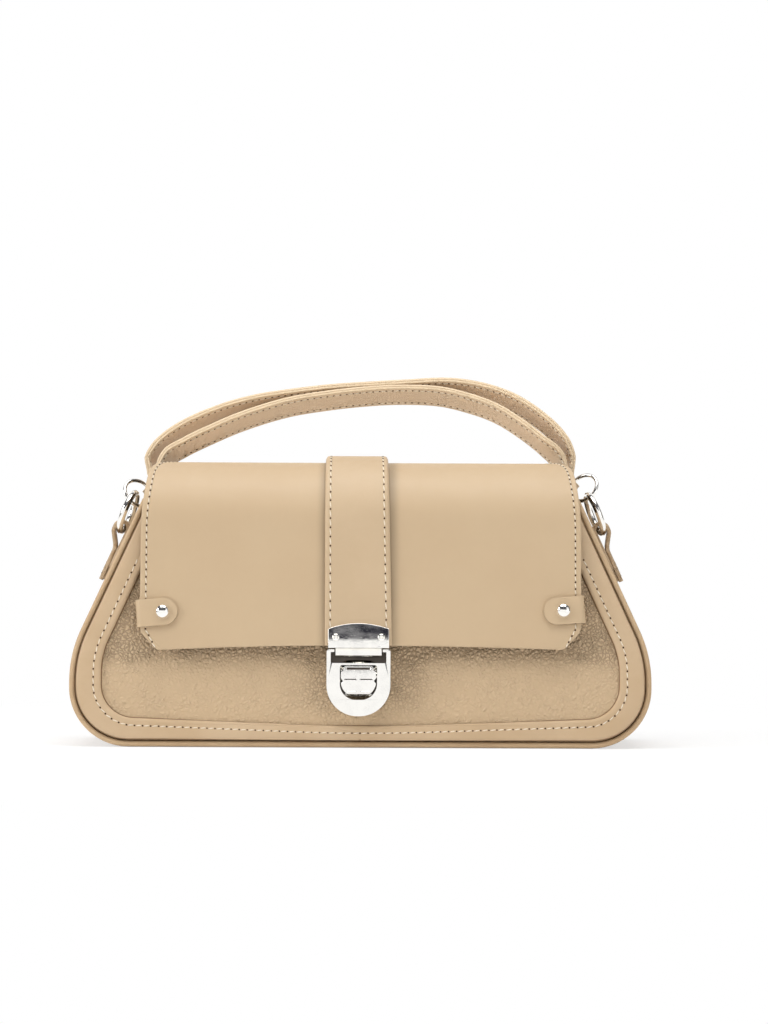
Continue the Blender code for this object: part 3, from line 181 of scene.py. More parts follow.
def pebbled_leather(name, tint, valley, grain=0.0019, rim=None, flexed_with_painted_shade=False):
    """Leather with a pressed pebble grain; on a front panel its grain is deeper under the flap,
    beside the lock and at the sides, and its creases there are darkened as painted shade.
    """
    hide = Finish(name, specular_ior_level=0.40)
    place = hide.place()
    drift = hide.noise(0.4 / grain, 3, 0.5, place, "Color")
    bent = hide.vectors("SCALE", hide.vectors("SUBTRACT", drift, (0.5, 0.5, 0.5)), grain * 2.2)
    bent = hide.vectors("ADD", place, bent)
    dome = hide.cells("SMOOTH_F1", bent, grain, Smoothness=0.25)
    crease = hide.cells("DISTANCE_TO_EDGE", bent, grain)
    swell = hide.fit(hide.noise(0.22 / grain, 2, vector=place), 0.3, 0.7)
    height = hide.fit(crease, 0.0, 0.5) * 0.45 + hide.fit(dome, 0.8, 0.05) * 0.55
    height = height * (swell * 0.55 + 0.45) + hide.noise(1.3 / grain, 3, 0.6, place) * 0.22
    cloud = hide.fit(hide.noise(38, 3, vector=place), 0.35, 0.68)
    shade = hide.blend(cloud, tint, darker(tint, 0.96))
    shade = hide.blend(hide.fit(height, 0.1, 0.5) * 0.12 + 0.88, valley, shade)
    if flexed_with_painted_shade:
        # On the front, the grain is deeper under the flap, beside the lock and at the sides, and
        # its creases there take painted shade where the flap and the lock shade the panel.
        across, up = hide.axis(place, 0).maths("ABSOLUTE"), hide.axis(place, 2)
        beside_lock = hide.fit(across, 0.044, 0.014) * hide.fit(up, 0.012, 0.030)
        under_flap = hide.fit(up, 0.0385, 0.0500)
        covered = (beside_lock + under_flap) * hide.fit(up, 0.080, 0.060)
        outer = hide.fit(across, 0.098, 0.118) * hide.fit(up, 0.030, 0.062)
        front_only = hide.fit(hide.axis(place, 1), 0.0, -0.012)
        open_grain_and_painted_shade = (covered + outer * hide.fit(up, 0.115, 0.085)) * front_only
        open_grain_and_painted_shade = open_grain_and_painted_shade.maths("MINIMUM", 1)
        height = height * (open_grain_and_painted_shade * 1.3 + 0.80)
        # Painted shade: the creases in those places are darkened towards a dark valley colour.
        lines = hide.fit(crease, 0.22, 0.0) * open_grain_and_painted_shade * 0.58
        shade = hide.blend(lines, shade, darker(valley, 0.5))
    hide.colour(hide.blend(hide.trait("edge"), shade, rim or darker(tint, 0.7)))
    hide.roughness(hide.fit(hide.noise(900, 2, vector=place), 0.3, 0.7, 0.46, 0.60))
    hide.relief(height, grain * 0.34)
    return hide.material


def smooth_leather(name, tint, deep, grain=0.00042, rim=None, strap_shadow=None):
    """Fine-grained calf: tiny pores, faint creases, and a darker rubbed cut edge."""
    hide = Finish(name, specular_ior_level=0.45)
    place = hide.place()
    drift = hide.noise(500, 2, 0.5, place, "Color")
    bent = hide.vectors("ADD", place, hide.vectors("SCALE", drift, grain * 1.2))
    pores = hide.fit(hide.cells("DISTANCE_TO_EDGE", bent, grain), 0.0, 0.22)
    fine = {"Vector": place, "Scale": 95, "Detail": 4, "Roughness": 0.55, "Lacunarity": 2.1}
    wrinkle = hide.node("ShaderNodeTexNoise", {"noise_type": "RIDGED_MULTIFRACTAL"}, fine)
    wrinkle = hide.fit(wrinkle, 0.55, 1.25)
    broad = hide.fit(hide.noise(22, 4, 0.6, place), 0.3, 0.72)
    fleck = hide.fit(hide.noise(1400, 2, vector=place), 0.42, 0.62)
    base = hide.blend(fleck * 0.14, hide.blend(broad, tint, deep), deep)
    base = hide.blend((1 - pores) * 0.16, base, deep)
    # Painted shadow: near a strap's edges the leather is darkened where the strap's shade falls.
    if strap_shadow:
        middle, half, reach = strap_shadow
        across = (hide.axis(place, 0) - middle).maths("ABSOLUTE")
        near = hide.fit(across, half + reach, half - 0.001)
        base = hide.blend(near * 0.6, base, darker(deep, 0.55))
    # The edge trait darkens cut edges; on the border band it also marks the fold's root, where a
    # dark line is painted shadow in the groove.
    worn = hide.trait("edge")
    base = hide.blend(worn * (0.9 if rim else 0.45), base, rim or darker(deep, 0.62))
    hide.colour(base)
    gloss = hide.fit(hide.noise(260, 3, vector=place), 0.3, 0.7, 0.41, 0.53)
    hide.roughness(gloss - worn * 0.05)
    height = pores * 0.5 + wrinkle * 0.35 + hide.noise(3000, 2, vector=place) * 0.15
    hide.relief(height, grain * 0.16, 0.6)
    return hide.material


def rounded(corners, closed=True, steps=10, stretch=6):
    """An outline with each corner turned by an arc, and evenly divided stretches between."""
    arcs = []
    for i, (across, up, radius) in enumerate(corners):
        here = Vector((across, up))
        if radius <= 0 or not closed and i in (0, len(corners) - 1):
            arcs.append([here])
            continue
        before = (Vector(corners[i - 1][:2]) - here).normalized()
        after = (Vector(corners[(i + 1) % len(corners)][:2]) - here).normalized()
        half = before.angle(after) / 2
        centre = here + (before + after).normalized() * radius / sin(half)
        arm = here + before * radius / tan(half) - centre
        turn = pi - 2 * half
        if before.x * after.y - before.y * after.x > 0:
            turn = -turn
        turns = [Matrix.Rotation(turn * step / steps, 2) for step in range(steps + 1)]
        arcs.append([centre + part @ arm for part in turns])
    points = []
    for i, arc in enumerate(arcs):
        points += arc
        if closed or i < len(arcs) - 1:
            last, first = arc[-1], arcs[(i + 1) % len(arcs)][0]
            points += [last.lerp(first, step / stretch) for step in range(1, stretch)]
    return points


def grown(corners, distance, closed=True):
    """The same outline moved outwards by a distance."""
    places = [Vector(corner[:2]) for corner in corners]
    normals = []
    for i, place in enumerate(places):
        along = (places[(i + 1) % len(places)] - place).normalized()
        normals.append(Vector((along.y, -along.x)))
    moved = []
    for i, (place, corner) in enumerate(zip(places, corners)):
        first, second = normals[i - 1], normals[i]
        first = second if not closed and i == 0 else first
        second = first if not closed and i == len(places) - 1 else second
        shifted = place + (first + second) * distance / (1 + first.dot(second))
        moved.append((shifted.x, shifted.y, max(0.0005, corner[2] + distance) if corner[2] else 0))
    return moved


def seam_run(height=PANEL_HEIGHT):
    """The seam line from the top left corner, round the bottom, to the top right."""
    right = [
        (BODY_HALF_WIDTH, 0, 0.0270),
        (BODY_HALF_WIDTH, KNEE_HEIGHT, 0.0600),
        (BODY_HALF_WIDTH - BODY_SLOPE * (height - KNEE_HEIGHT), height, 0),
    ]
    return [(-x, y, radius) for x, y, radius in reversed(right)] + [(0, 0, 0)] + right


def linked(name, data):
    obj = bpy.data.objects.new(name, data)
    bpy.context.scene.collection.objects.link(obj)
    return obj


def settle(obj, body, stands_for=(), slot=None):
    if body:
        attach(obj, body)
    if stands_for:
        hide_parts(*stands_for)
    return obj


def piece(name, verts, faces, material, body, stands_for=(), slot=None, wear=None):
    """A finished mesh object that rides on a body; wear has a 1 for each point on a cut edge."""
    mesh = bpy.data.meshes.new(name)
    mesh.from_pydata([tuple(v) for v in verts], [], faces)
    mesh.materials.append(material)
    mesh.shade_smooth()
    if wear:
        trait = mesh.attributes.new("edge", "FLOAT", "POINT")
        trait.data.foreach_set("value", [float(w) for w in wear])
    return settle(linked(name, mesh), body, stands_for, slot)


def strips(rows, width, around=False, closed=False, flip=False):
    """Faces between rows of points; around joins each row's ends, closed the two end rows."""
    faces = []
    for row in range(rows if closed else rows - 1):
        near, far = row * width, (row + 1) % rows * width
        for i in range(width if around else width - 1):
            j = (i + 1) % width
            face = (near + i, near + j, far + j, far + i)
            faces.append((face[0], *face[:0:-1]) if flip else face)
    return faces


def wall(obj, thickness, side, round_edge=0.0, segments=3):
    """Gives a skin its thickness, and rounds its cut edges."""
    shell = obj.modifiers.new("thickness", "SOLIDIFY")
    shell.thickness = thickness
    shell.offset = side
    shell.use_even_offset = True
    if round_edge:
        rounded_edges(obj, round_edge, segments)
    return obj


def rounded_edges(obj, width, segments):
    bevel = obj.modifiers.new("rounded edges", "BEVEL")
    bevel.width = width
    bevel.segments = segments
    bevel.limit_method = "ANGLE"
    bevel.angle_limit = radians(50)


def evaluated(obj):
    """The mesh that an object has once its modifiers, or its curve's fill, are worked out."""
    bpy.context.view_layer.update()
    graph = bpy.context.evaluated_depsgraph_get()
    return bpy.data.meshes.new_from_object(obj.evaluated_get(graph))


def made_solid(obj):
    """Applies an object's modifiers to its mesh."""
    mesh = evaluated(obj)
    obj.modifiers.clear()
    old, obj.data = obj.data, mesh
    bpy.data.meshes.remove(old)
    return obj


beige, valley = tone(205, 178, 143), tone(160, 132, 100)
grained = pebbled_leather("pebbled_beige_leather", beige, valley, flexed_with_painted_shade=True)


def panel(
    name, place, node, wave,
    level=0.0, thickness=PANEL_THICKNESS, material=grained, slot="grained_leather",
):
    """One wall of the bag: rings of points from its seam to its middle, slightly swollen."""
    outline = rounded(grown(seam_run(), -SEAM_GAP), steps=12, stretch=10)
    count, rings = len(outline), 10
    verts = []
    for ring in range(rings + 1):
        share = ring / rings
        for point in outline:
            core = Vector((max(-0.085, min(0.085, point.x * 0.72)), PANEL_HEIGHT * 0.48))
            spot = point.lerp(core, share * 0.93)
            full = sin(pi / 2 * min(1, share * 1.6))
            swell = wave * full * (sin(spot.x * 61 + 1.3) * cos(spot.y * 83) * 0.5 + 0.5) * 0.00022
            verts.append(place @ Vector((spot.x, spot.y, level + swell)))
    faces = strips(rings + 1, count, around=True)
    faces.append(tuple(rings * count + i for i in range(count)))
    made = piece(name, verts, faces, material, "root", [node], slot)
    return made_solid(wall(made, thickness, -1, 0.0003, 2))


panel("front_panel_leather", front, "front_panel", 1)
panel("back_panel_leather", back, "back_panel", 1)


# The gusset.
# One long band of smooth leather that runs down one side, under the base and up the other,
# sewn to both panels. It is a little dished between its seams.
GUSSET_OUTSIDE = 0.0030
GUSSET_EDGE = -0.0025
GUSSET_THICKNESS = 0.0016
GUSSET_HEIGHT = 0.1130

cut_edge = tone(194, 166, 131)
band_leather = smooth_leather("smooth_beige_band_leather", tone(207, 181, 148), cut_edge)
# Its dark rim colour marks the cut outer edge and, at the inner fold's root, a thin line of
# painted shadow in the groove against the panel.
border_leather = smooth_leather(
    "smooth_beige_border_leather", tone(205, 179, 146), cut_edge, rim=tone(120, 90, 60)
)


def sheet(name, rows, columns, place, material, stands_for, slot, worn=True):
    """A skin of rows and columns; each place gets the row's number and a share from -1 to 1."""
    verts, wear = [], []
    for row in range(rows):
        for column in range(columns + 1):
            verts.append(place(row, -1 + 2 * column / columns))
            wear.append(worn and min(row, rows - 1 - row, column, columns - column) < 1)
    faces = strips(rows, columns + 1)
    return piece(name, verts, faces, material, "root", [stands_for], slot, wear)


gusset_run = grown(seam_run(GUSSET_HEIGHT), GUSSET_OUTSIDE, closed=False)
gusset_run = rounded(gusset_run, closed=False, steps=14, stretch=14)


def gusset_place(row, side):
    point = gusset_run[row]
    inward = Vector((-point.x, 0.06 - point.y)).normalized()
    sides = min(1, max(0, (point.y - 0.012) / 0.03))
    dish = 0.0011 * sides * (1 - side**2) ** 1.5
    spot = (point.x + inward.x * dish, point.y + inward.y * dish * 0.2, GUSSET_EDGE)
    edge = front @ Vector(spot)
    return Vector((edge.x, -side * edge.y, edge.z))


gusset_look = (band_leather, "gusset", "band_leather")
gusset = sheet("gusset_leather", len(gusset_run), 14, gusset_place, *gusset_look)
made_solid(wall(gusset, GUSSET_THICKNESS, -1, 0.0004))


# The border band of the front.
# A strip of smooth leather sewn over the panel's rim, with its inner edge folded under to a
# soft round; the outer edge is caught in the piped seam.
BAND_SIDE = 0.0130
BAND_CORNER = 0.0117
BAND_BOTTOM = 0.0070
BAND_TOP = 0.0080
BAND_STITCH = 0.0037
BAND_FACE = 0.00205


def opening_run(inset=0):
    knee = BODY_HALF_WIDTH - BAND_SIDE
    height = PANEL_HEIGHT - BAND_TOP
    right = [
        (knee, BAND_CORNER, 0.0170),
        (knee, KNEE_HEIGHT, 0.0400),
        (knee - BODY_SLOPE * (height - KNEE_HEIGHT), height, 0.0042),
    ]
    run = [(-x, y, radius) for x, y, radius in reversed(right)] + [(0, BAND_BOTTOM, 0.9)] + right
    return grown(run, inset) if inset else run


def border_band():
    """The band: a closed loop of sections from the inner fold to the outer cut and back below."""
    outer = grown(seam_run(), -SEAM_GAP)
    outer = [(x, y, radius or 0.0008) for x, y, radius in outer]
    outer[3] = (0, outer[3][1] - 0.00001, 0.9)
    outer = rounded(outer, steps=14, stretch=12)
    inner = rounded(opening_run(), steps=14, stretch=12)
    # (distance from the inner fold, level) on the face, then (distance from the outer cut, level)
    fold = [(-0.0005, 0.0004), (-0.0001, 0.0008), (0.00005, 0.0013), (0.0003, 0.00165)]
    fold += [(0.0008, 0.00200), (0.0016, 0.00215), (0.0028, 0.00214)]
    stitch = [(0.0033, 0.00205), (0.0037, 0.00200), (0.0041, 0.00205), (0.0050, 0.00215)]
    rim = [(0.0016, 0.0022), (0.0008, 0.00205), (0.0003, 0.0017), (0.0, 0.0012), (0.0, SEAM_GAP)]
    verts, wear = [], []
    for near, far in zip(inner, outer):
        out = (far - near).normalized()
        width = (far - near).length
        for reach, level in fold + stitch:
            verts.append(front @ Vector((*(near + out * min(reach, width * 0.8)), level)))
            # The fold's root, where it meets the panel, takes the dark rim colour as a painted
            # shadow line.
            wear.append(1 if level < 0.001 else 0)
        for reach, level in rim:
            verts.append(front @ Vector((*(far - out * min(reach, width * 0.15)), level)))
            wear.append(1 if reach < 0.0005 else 0)
        verts.append(front @ Vector((*(near - out * 0.0005), SEAM_GAP)))
        wear.append(1)
    faces = strips(len(inner), len(verts) // len(inner), around=True, closed=True)
    look = (border_leather, "root", ["front_border"], "band_leather")
    outward(piece("border_band", verts, faces, *look, wear))


def outward(obj):
    """Points every face of a closed shell outwards."""
    work = bmesh.new()
    work.from_mesh(obj.data)
    bmesh.ops.remove_doubles(work, verts=work.verts, dist=0.000001)
    bmesh.ops.recalc_face_normals(work, faces=work.faces)
    work.to_mesh(obj.data)
    work.free()
    return obj


border_band()


# The saddle stitching of the whole bag.
# Thick cream waxed thread through punched holes. Each stitch is a short slanted stroke that
# sinks into the leather at both ends; at each hole a flat dark pit is painted shade for its depth.
STITCH_PITCH = 0.0040
STITCH_SHARE = 0.72
STITCH_SLANT = radians(9)
THREAD_RADIUS = 0.00031
PIT_WIDTH = 1.55
PIT_HEIGHT = 0.5

thread = Finish("cream_waxed_thread", roughness=0.55)
bands = {"wave_type": "BANDS", "bands_direction": "DIAGONAL"}
strands = {"Vector": thread.place(), "Scale": 900, "Distortion": 1.5}
twist = thread.node("ShaderNodeTexWave", bands, strands)
thread.colour(thread.blend(twist, tone(222, 206, 180), tone(246, 238, 222)))
thread.relief(twist, 0.00006, 0.7)
# Painted shade for the needle holes: a dark brown.
needle_hole = Finish("needle_hole_painted_shade", roughness=0.9)
needle_hole.colour(needle_hole.blend(needle_hole.noise(800), tone(58, 38, 24), tone(84, 58, 38)))


class Growth:
    """A geometry node tree, built the way a material is."""

    def __init__(self, name, numbers):
        self.tree = bpy.data.node_groups.new(name, "GeometryNodeTree")
        face = self.tree.interface
        face.new_socket("Geometry", in_out="INPUT", socket_type="NodeSocketGeometry")
        face.new_socket("Geometry", in_out="OUTPUT", socket_type="NodeSocketGeometry")
        self.keys = {}
        for key, kind in numbers.items():
            self.keys[key] = face.new_socket(key, in_out="INPUT", socket_type=kind).identifier
        self.start = self.tree.nodes.new("NodeGroupInput")
        self.end = self.tree.nodes.new("NodeGroupOutput")

    def node(self, kind, settings=None, sockets=None, output=0):
        made = self.tree.nodes.new(kind)
        for key, value in (settings or {}).items():
            setattr(made, key, value)
        for key, value in (sockets or {}).items():
            if isinstance(value, (bpy.types.NodeSocket, list)):
                for one in value if isinstance(value, list) else [value]:
                    self.tree.links.new(one, made.inputs[key])
            else:
                made.inputs[key].default_value = value
        return made.outputs[output]

    def maths(self, operation, first, second):
        return self.node("ShaderNodeMath", {"operation": operation}, {0: first, 1: second})

    def triple(self, **parts):
        return self.node("ShaderNodeCombineXYZ", None, parts)

    def dotted(self, rings, points, turn, size):
        """A ball of a given size at each point."""
        ball = {"Segments": 8, "Rings": rings, "Radius": 1.0}
        ball = self.node("GeometryNodeMeshUVSphere", None, ball)
        sockets = {"Points": points, "Instance": ball, "Rotation": turn, "Scale": size}
        return self.node("GeometryNodeInstanceOnPoints", None, sockets)

    def finished(self, shape, material):
        sockets = {"Geometry": shape, "Material": material}
        return self.node("GeometryNodeSetMaterial", None, sockets)

    def run(self, obj, **values):
        grow = obj.modifiers.new("growth", "NODES")
        grow.node_group = self.tree
        for key, value in values.items():
            grow[self.keys[key]] = value
        return made_solid(obj)


def stitching_tree():
    numbers = {key: "NodeSocketFloat" for key in ("pitch", "length", "thickness", "slant")}
    numbers.update({key: "NodeSocketMaterial" for key in ("thread", "hole")})
    grow = Growth("saddle_stitching", numbers)
    given = grow.start.outputs
    thick = given["thickness"]
    curve = grow.node("GeometryNodeMeshToCurve", None, {"Mesh": given["Geometry"]})
    sockets = {"Curve": curve, "Length": given["pitch"]}
    points = grow.node("GeometryNodeCurveToPoints", {"mode": "LENGTH"}, sockets)
    tangent = grow.tree.nodes[-1].outputs["Tangent"]
    named = {"data_type": "FLOAT_VECTOR"}
    up = grow.node("GeometryNodeInputNamedAttribute", named, {"Name": "out"})
    align = "FunctionNodeAlignRotationToVector"
    aim = grow.node(align, {"axis": "X"}, {"Vector": tangent})
    aim = grow.node(align, {"axis": "Z", "pivot_axis": "X"}, {"Rotation": aim, "Vector": up})
    turn = grow.node("FunctionNodeEulerToRotation", None, {"Euler": grow.triple(Z=given["slant"])})
    sockets = {"Rotation": aim, "Rotate By": turn}
    slanted = grow.node("FunctionNodeRotateRotation", {"rotation_space": "LOCAL"}, sockets)
    size = grow.triple(X=grow.maths("MULTIPLY", given["length"], 0.5), Y=thick, Z=thick)
    strokes = grow.dotted(8, points, slanted, size)
    strokes = grow.finished(strokes, given["thread"])
    # Each hole is a flat dark pit: painted shade for its depth.
    wide = grow.maths("MULTIPLY", thick, PIT_WIDTH)
    size = grow.triple(X=wide, Y=wide, Z=grow.maths("MULTIPLY", thick, PIT_HEIGHT))
    reach = grow.maths("DIVIDE", grow.maths("MULTIPLY", given["pitch"], 0.5), wide)
    sockets = {"Instances": grow.dotted(6, points, aim, size), "Local Space": True}
    sockets["Translation"] = grow.triple(X=reach, Z=0.3)
    pits = grow.node("GeometryNodeTranslateInstances", None, sockets)
    pits = grow.finished(pits, given["hole"])
    whole = grow.node("GeometryNodeJoinGeometry", None, {"Geometry": [strokes, pits]})
    whole = grow.node("GeometryNodeRealizeInstances", None, {"Geometry": whole})
    smooth = grow.node("GeometryNodeSetShadeSmooth", None, {"Geometry": whole})
    grow.tree.links.new(smooth, grow.end.inputs["Geometry"])
    return grow


stitching = stitching_tree()


def stitch_line(name, path, outs, body, blend=None, slot="smooth_leather", pitch=STITCH_PITCH):
    """Sews along a path of points; outs are the directions out of the leather at them."""
    mesh = bpy.data.meshes.new(name)
    mesh.from_pydata([tuple(p) for p in path], [(i, i + 1) for i in range(len(path) - 1)], [])
    trait = mesh.attributes.new("out", "FLOAT_VECTOR", "POINT")
    trait.data.foreach_set("vector", [c for out in outs for c in out])
    obj = linked(name, mesh)
    values = {"pitch": pitch, "length": pitch * STITCH_SHARE, "thickness": THREAD_RADIUS}
    values.update(slant=STITCH_SLANT, thread=thread.material, hole=needle_hole.material)
    stitching.run(obj, **values)
    if blend:
        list(blend)
        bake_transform(obj)
    else:
        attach(obj, body)


band_stitch = rounded(opening_run(BAND_STITCH), steps=14, stretch=8)
band_stitch = [p for p in band_stitch if p.y < 0.095]
start = min(range(len(band_stitch)), key=lambda i: (band_stitch[i].x > 0, -band_stitch[i].y))
band_stitch = band_stitch[start:] + band_stitch[:start]
front_out = front.to_3x3() @ Vector((0, 0, 1))
path = [front @ Vector((*p, BAND_FACE)) for p in band_stitch]
stitch_line("border_stitching", path, [front_out] * len(path), "root", slot="band_leather")


# The piping.
# A cord wrapped in a bias strip of the same leather, caught in the seams round both panels.
PIPING_RADIUS = 0.0015


def tube(name, path, radius, material, stands_for, slot, sides=12):
    """A round tube along a path, its cross-section carried along without twist."""
    count = len(path)
    verts, side = [], None
    for i, point in enumerate(path):
        along = (path[min(count - 1, i + 1)] - path[max(0, i - 1)]).normalized()
        side = side or along.orthogonal().normalized()
        side = (side - along * side.dot(along)).normalized()
        third = along.cross(side)
        for k in range(sides):
            turn = 2 * pi * k / sides
            verts.append(point + (side * cos(turn) + third * sin(turn)) * radius)
    faces = strips(count, sides, around=True)
    faces.append(tuple(range(sides - 1, -1, -1)))
    faces.append(tuple((count - 1) * sides + k for k in range(sides)))
    return piece(name, verts, faces, material, "root", [stands_for], slot)


piping_run = grown(seam_run(), PIPING_RADIUS, closed=False)
piping_run = rounded(piping_run, closed=False, steps=20, stretch=16)
piping_leather = smooth_leather(
    "piping_leather", tone(205, 177, 140), tone(186, 155, 118), grain=0.0004
)
for name, place in (("front_piping", front), ("back_piping", back)):
    path = [place @ Vector((p.x, p.y, -PANEL_THICKNESS / 2)) for p in piping_run]
    tube(name + "_leather", path, PIPING_RADIUS, piping_leather, name, "band_leather")


# The lining pouch and the base board.
# Woven cloth over a thin foam, closed to the panels' upper hem. A stiff board keeps the base
# flat; it stays the solid of the frame, since nothing shows of it.
cloth = Finish("woven_lining_cloth", roughness=0.92)
weave = {"Vector": cloth.place(), "Scale": 420}
warp, weft = (
    cloth.node("ShaderNodeTexWave", {"bands_direction": way}, weave) for way in "XZ"
)
cloth.colour(cloth.blend(warp * weft, tone(150, 128, 100), tone(188, 168, 140)))
cloth.relief(warp * 0.5 + weft * 0.5, 0.00008, 0.7)
board = Finish("stiff_board", roughness=0.9)
board.colour(board.blend(board.noise(300), tone(112, 100, 86), tone(132, 120, 104)))
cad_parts["base_board"].data.materials.clear()
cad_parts["base_board"].data.materials.append(board.material)
POUCH_LEVEL = -0.0018
CLOTH_THICKNESS = 0.0007
POUCH_HEM = 0.0085
pouch_run = grown(seam_run(PANEL_HEIGHT - POUCH_HEM), -0.0008, closed=False)
pouch_run = rounded(pouch_run, closed=False, steps=14, stretch=14)


def pouch_band(row, side):
    """The band between the pouch's two walls, hanging in slight folds below its hem."""
    point = pouch_run[row]
    slack = 0.0007 * (1 - side**2) * (1 + sin(point.y * 170 + 3 * side))
    edge = front @ Vector((point.x - slack * (1 if point.x > 0 else -1), point.y, POUCH_LEVEL))
    return Vector((edge.x, -side * edge.y, edge.z))


for name, place in (("front", front), ("back", back)):
    look = (-1, POUCH_LEVEL, CLOTH_THICKNESS, cloth.material, "lining_cloth")
    panel(f"lining_pouch_{name}_cloth", place, "lining_pouch", *look)
look = (cloth.material, "lining_pouch", "lining_cloth")
band = sheet("lining_pouch_band_cloth", len(pouch_run), 16, pouch_band, *look, worn=False)
made_solid(wall(band, CLOTH_THICKNESS, -1))


# The flap.
# One sheet of smooth calf with its edges turned, lined with cloth and sewn to the back panel.
# It rolls over the crest and hangs clear of the front.
FLAP_HALF_WIDTH = 0.1105
FLAP_CORNER_CUT = 0.0090
FLAP_BOW = 0.0021
FLAP_BOW_REACH = 0.0400
FLAP_THICKNESS = 0.0012
FLAP_LEVEL = 0.0069
FLAP_STITCH = 0.0029
FLAP_CREST_HEIGHT = 0.1430
FLAP_BENDS = ("root", "flap", (0, 0.012, 0.1445), (0, -0.008, 0.1445))

# Beside the strap the flap's leather is darker, a painted shadow of the strap: the strap's middle,
# its half width, the reach.
flap_leather = smooth_leather(
    "smooth_beige_flap_leather", tone(202, 177, 143), tone(199, 173, 139),
    strap_shadow=(-0.0012, 0.0170, 0.0048),
)

# The flap's section: (depth, height, radius of the bend) from its front edge to its rear seam.
flap_bottom = front @ Vector((0, 0.0474, FLAP_LEVEL))
flap_seam = back @ Vector((0, 0.1120, 0.0015))
flap_corners = [
    (flap_bottom.y, flap_bottom.z, 0),
    (-0.026314, FLAP_CREST_HEIGHT, 0.0320),
    (0.020868, FLAP_CREST_HEIGHT, 0.0140),
    (flap_seam.y, flap_seam.z, 0),
]
section = np.array(rounded(flap_corners, closed=False, steps=40, stretch=24))
section_run = np.concatenate(([0], np.cumsum(np.hypot(*np.diff(section, axis=0).T))))
section_way = np.gradient(section, section_run, axis=0)
# How far along the leather the crest, where it bends, and the rear seam are.
FLAP_CREST_RUN = float(np.interp(0.003, section[:, 0], section_run))
FLAP_RUN = float(section_run[-1])


def flap_half(run):
    """Half the flap's width at a distance along it from its front edge."""
    widths = []
    for offset in (-0.006, -0.003, 0, 0.003, 0.006):
        at = min(max(run + offset, 0), FLAP_RUN)
        if at < FLAP_CREST_RUN:
            shares = (1, 1, 0.983, 0.968, 0.918)
            share = np.interp(at / FLAP_CREST_RUN, (0, 0.58, 0.74, 0.87, 1), shares)
        else:
            left = (FLAP_RUN - at) / (FLAP_RUN - FLAP_CREST_RUN)
            share = np.interp(left, (0, 0.6, 0.85, 1), (0.83, 0.83, 0.875, 0.915))
        widths.append(FLAP_HALF_WIDTH * share)
    return float(np.mean(widths))


corner_cut = [
    (FLAP_HALF_WIDTH - 0.03, 0, 0),
    (FLAP_HALF_WIDTH - FLAP_CORNER_CUT, 0, 0.0030),
    (FLAP_HALF_WIDTH, FLAP_CORNER_CUT, 0.0080),
    (FLAP_HALF_WIDTH, 3 * FLAP_CORNER_CUT, 0),
]
corner_edge = np.array(rounded(corner_cut, closed=False, steps=14, stretch=1))[1:]


def flap_edge(run):
    """Where the flap's side edge is, with its corners cut."""
    cut = float(np.interp(run, corner_edge[:, 1], corner_edge[:, 0]))
    return flap_half(run) - FLAP_HALF_WIDTH + cut


def on_flap(across, run, level=0.0):
    """A place on the flap: across, along its leather from the front edge, and out of it."""
    side = min(1, abs(across) / FLAP_HALF_WIDTH)
    bow = FLAP_BOW + (0.0011 if across < 0 else 0)
    at = run - bow * side**2 * max(0, 1 - run / FLAP_BOW_REACH)
    y, z = (np.interp(at, section_run, section[:, i]) for i in (0, 1))
    way_y, way_z = (np.interp(at, section_run, section_way[:, i]) for i in (0, 1))
    y, z = y + way_y * min(0, at), z + way_z * min(0, at)
    free = min(1, run / 0.05, max(0, FLAP_CREST_RUN - run) / 0.03)
    free *= 1 - np.exp(-((across / 0.04) ** 2))
    level += 0.0005 * free * sin(across * 43 + run * 16 + 0.7) * sin(run * 38 + 0.5)
    return Vector((across, y - way_z * level, z + way_y * level))


def runs_with(total, ends, spacing):
    """Distances along a piece: close together near its ends, and evenly between."""
    low, high = ends[-1], total - ends[-1]
    between = np.linspace(low, high, max(2, round((high - low) / spacing)))
    return list(ends[:-1]) + [float(v) for v in between] + [total - v for v in reversed(ends[:-1])]


FLAP_RUN_ENDS = (
    0, 0.0001, 0.0003, 0.0006, 0.001, 0.0015, 0.0022, 0.003, 0.004, 0.0052,
    0.0066, 0.0082, 0.01, 0.0125, 0.0155,
)
FLAP_RUNS = runs_with(FLAP_RUN, FLAP_RUN_ENDS, 0.0027)
FLAP_EDGE_STEPS = (
    0, 0.0002, 0.0006, 0.0012, 0.0019, 0.0024, 0.0027, 0.0029, 0.0031, 0.0034,
    0.004, 0.005, 0.0065, 0.0085, 0.011, 0.015, 0.02,
)
FLAP_MIDDLE_STEPS = 16


def flap_piece(name, verts, wear, rows, thickness, round_edge, material, stands_for, slot):
    """A skin laid on the flap, made solid."""
    faces = strips(rows, len(verts) // rows)
    obj = piece(name, verts, faces, material, None, stands_for, slot, wear)
    made_solid(wall(obj, thickness, -1, round_edge, 3))
    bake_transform(obj)


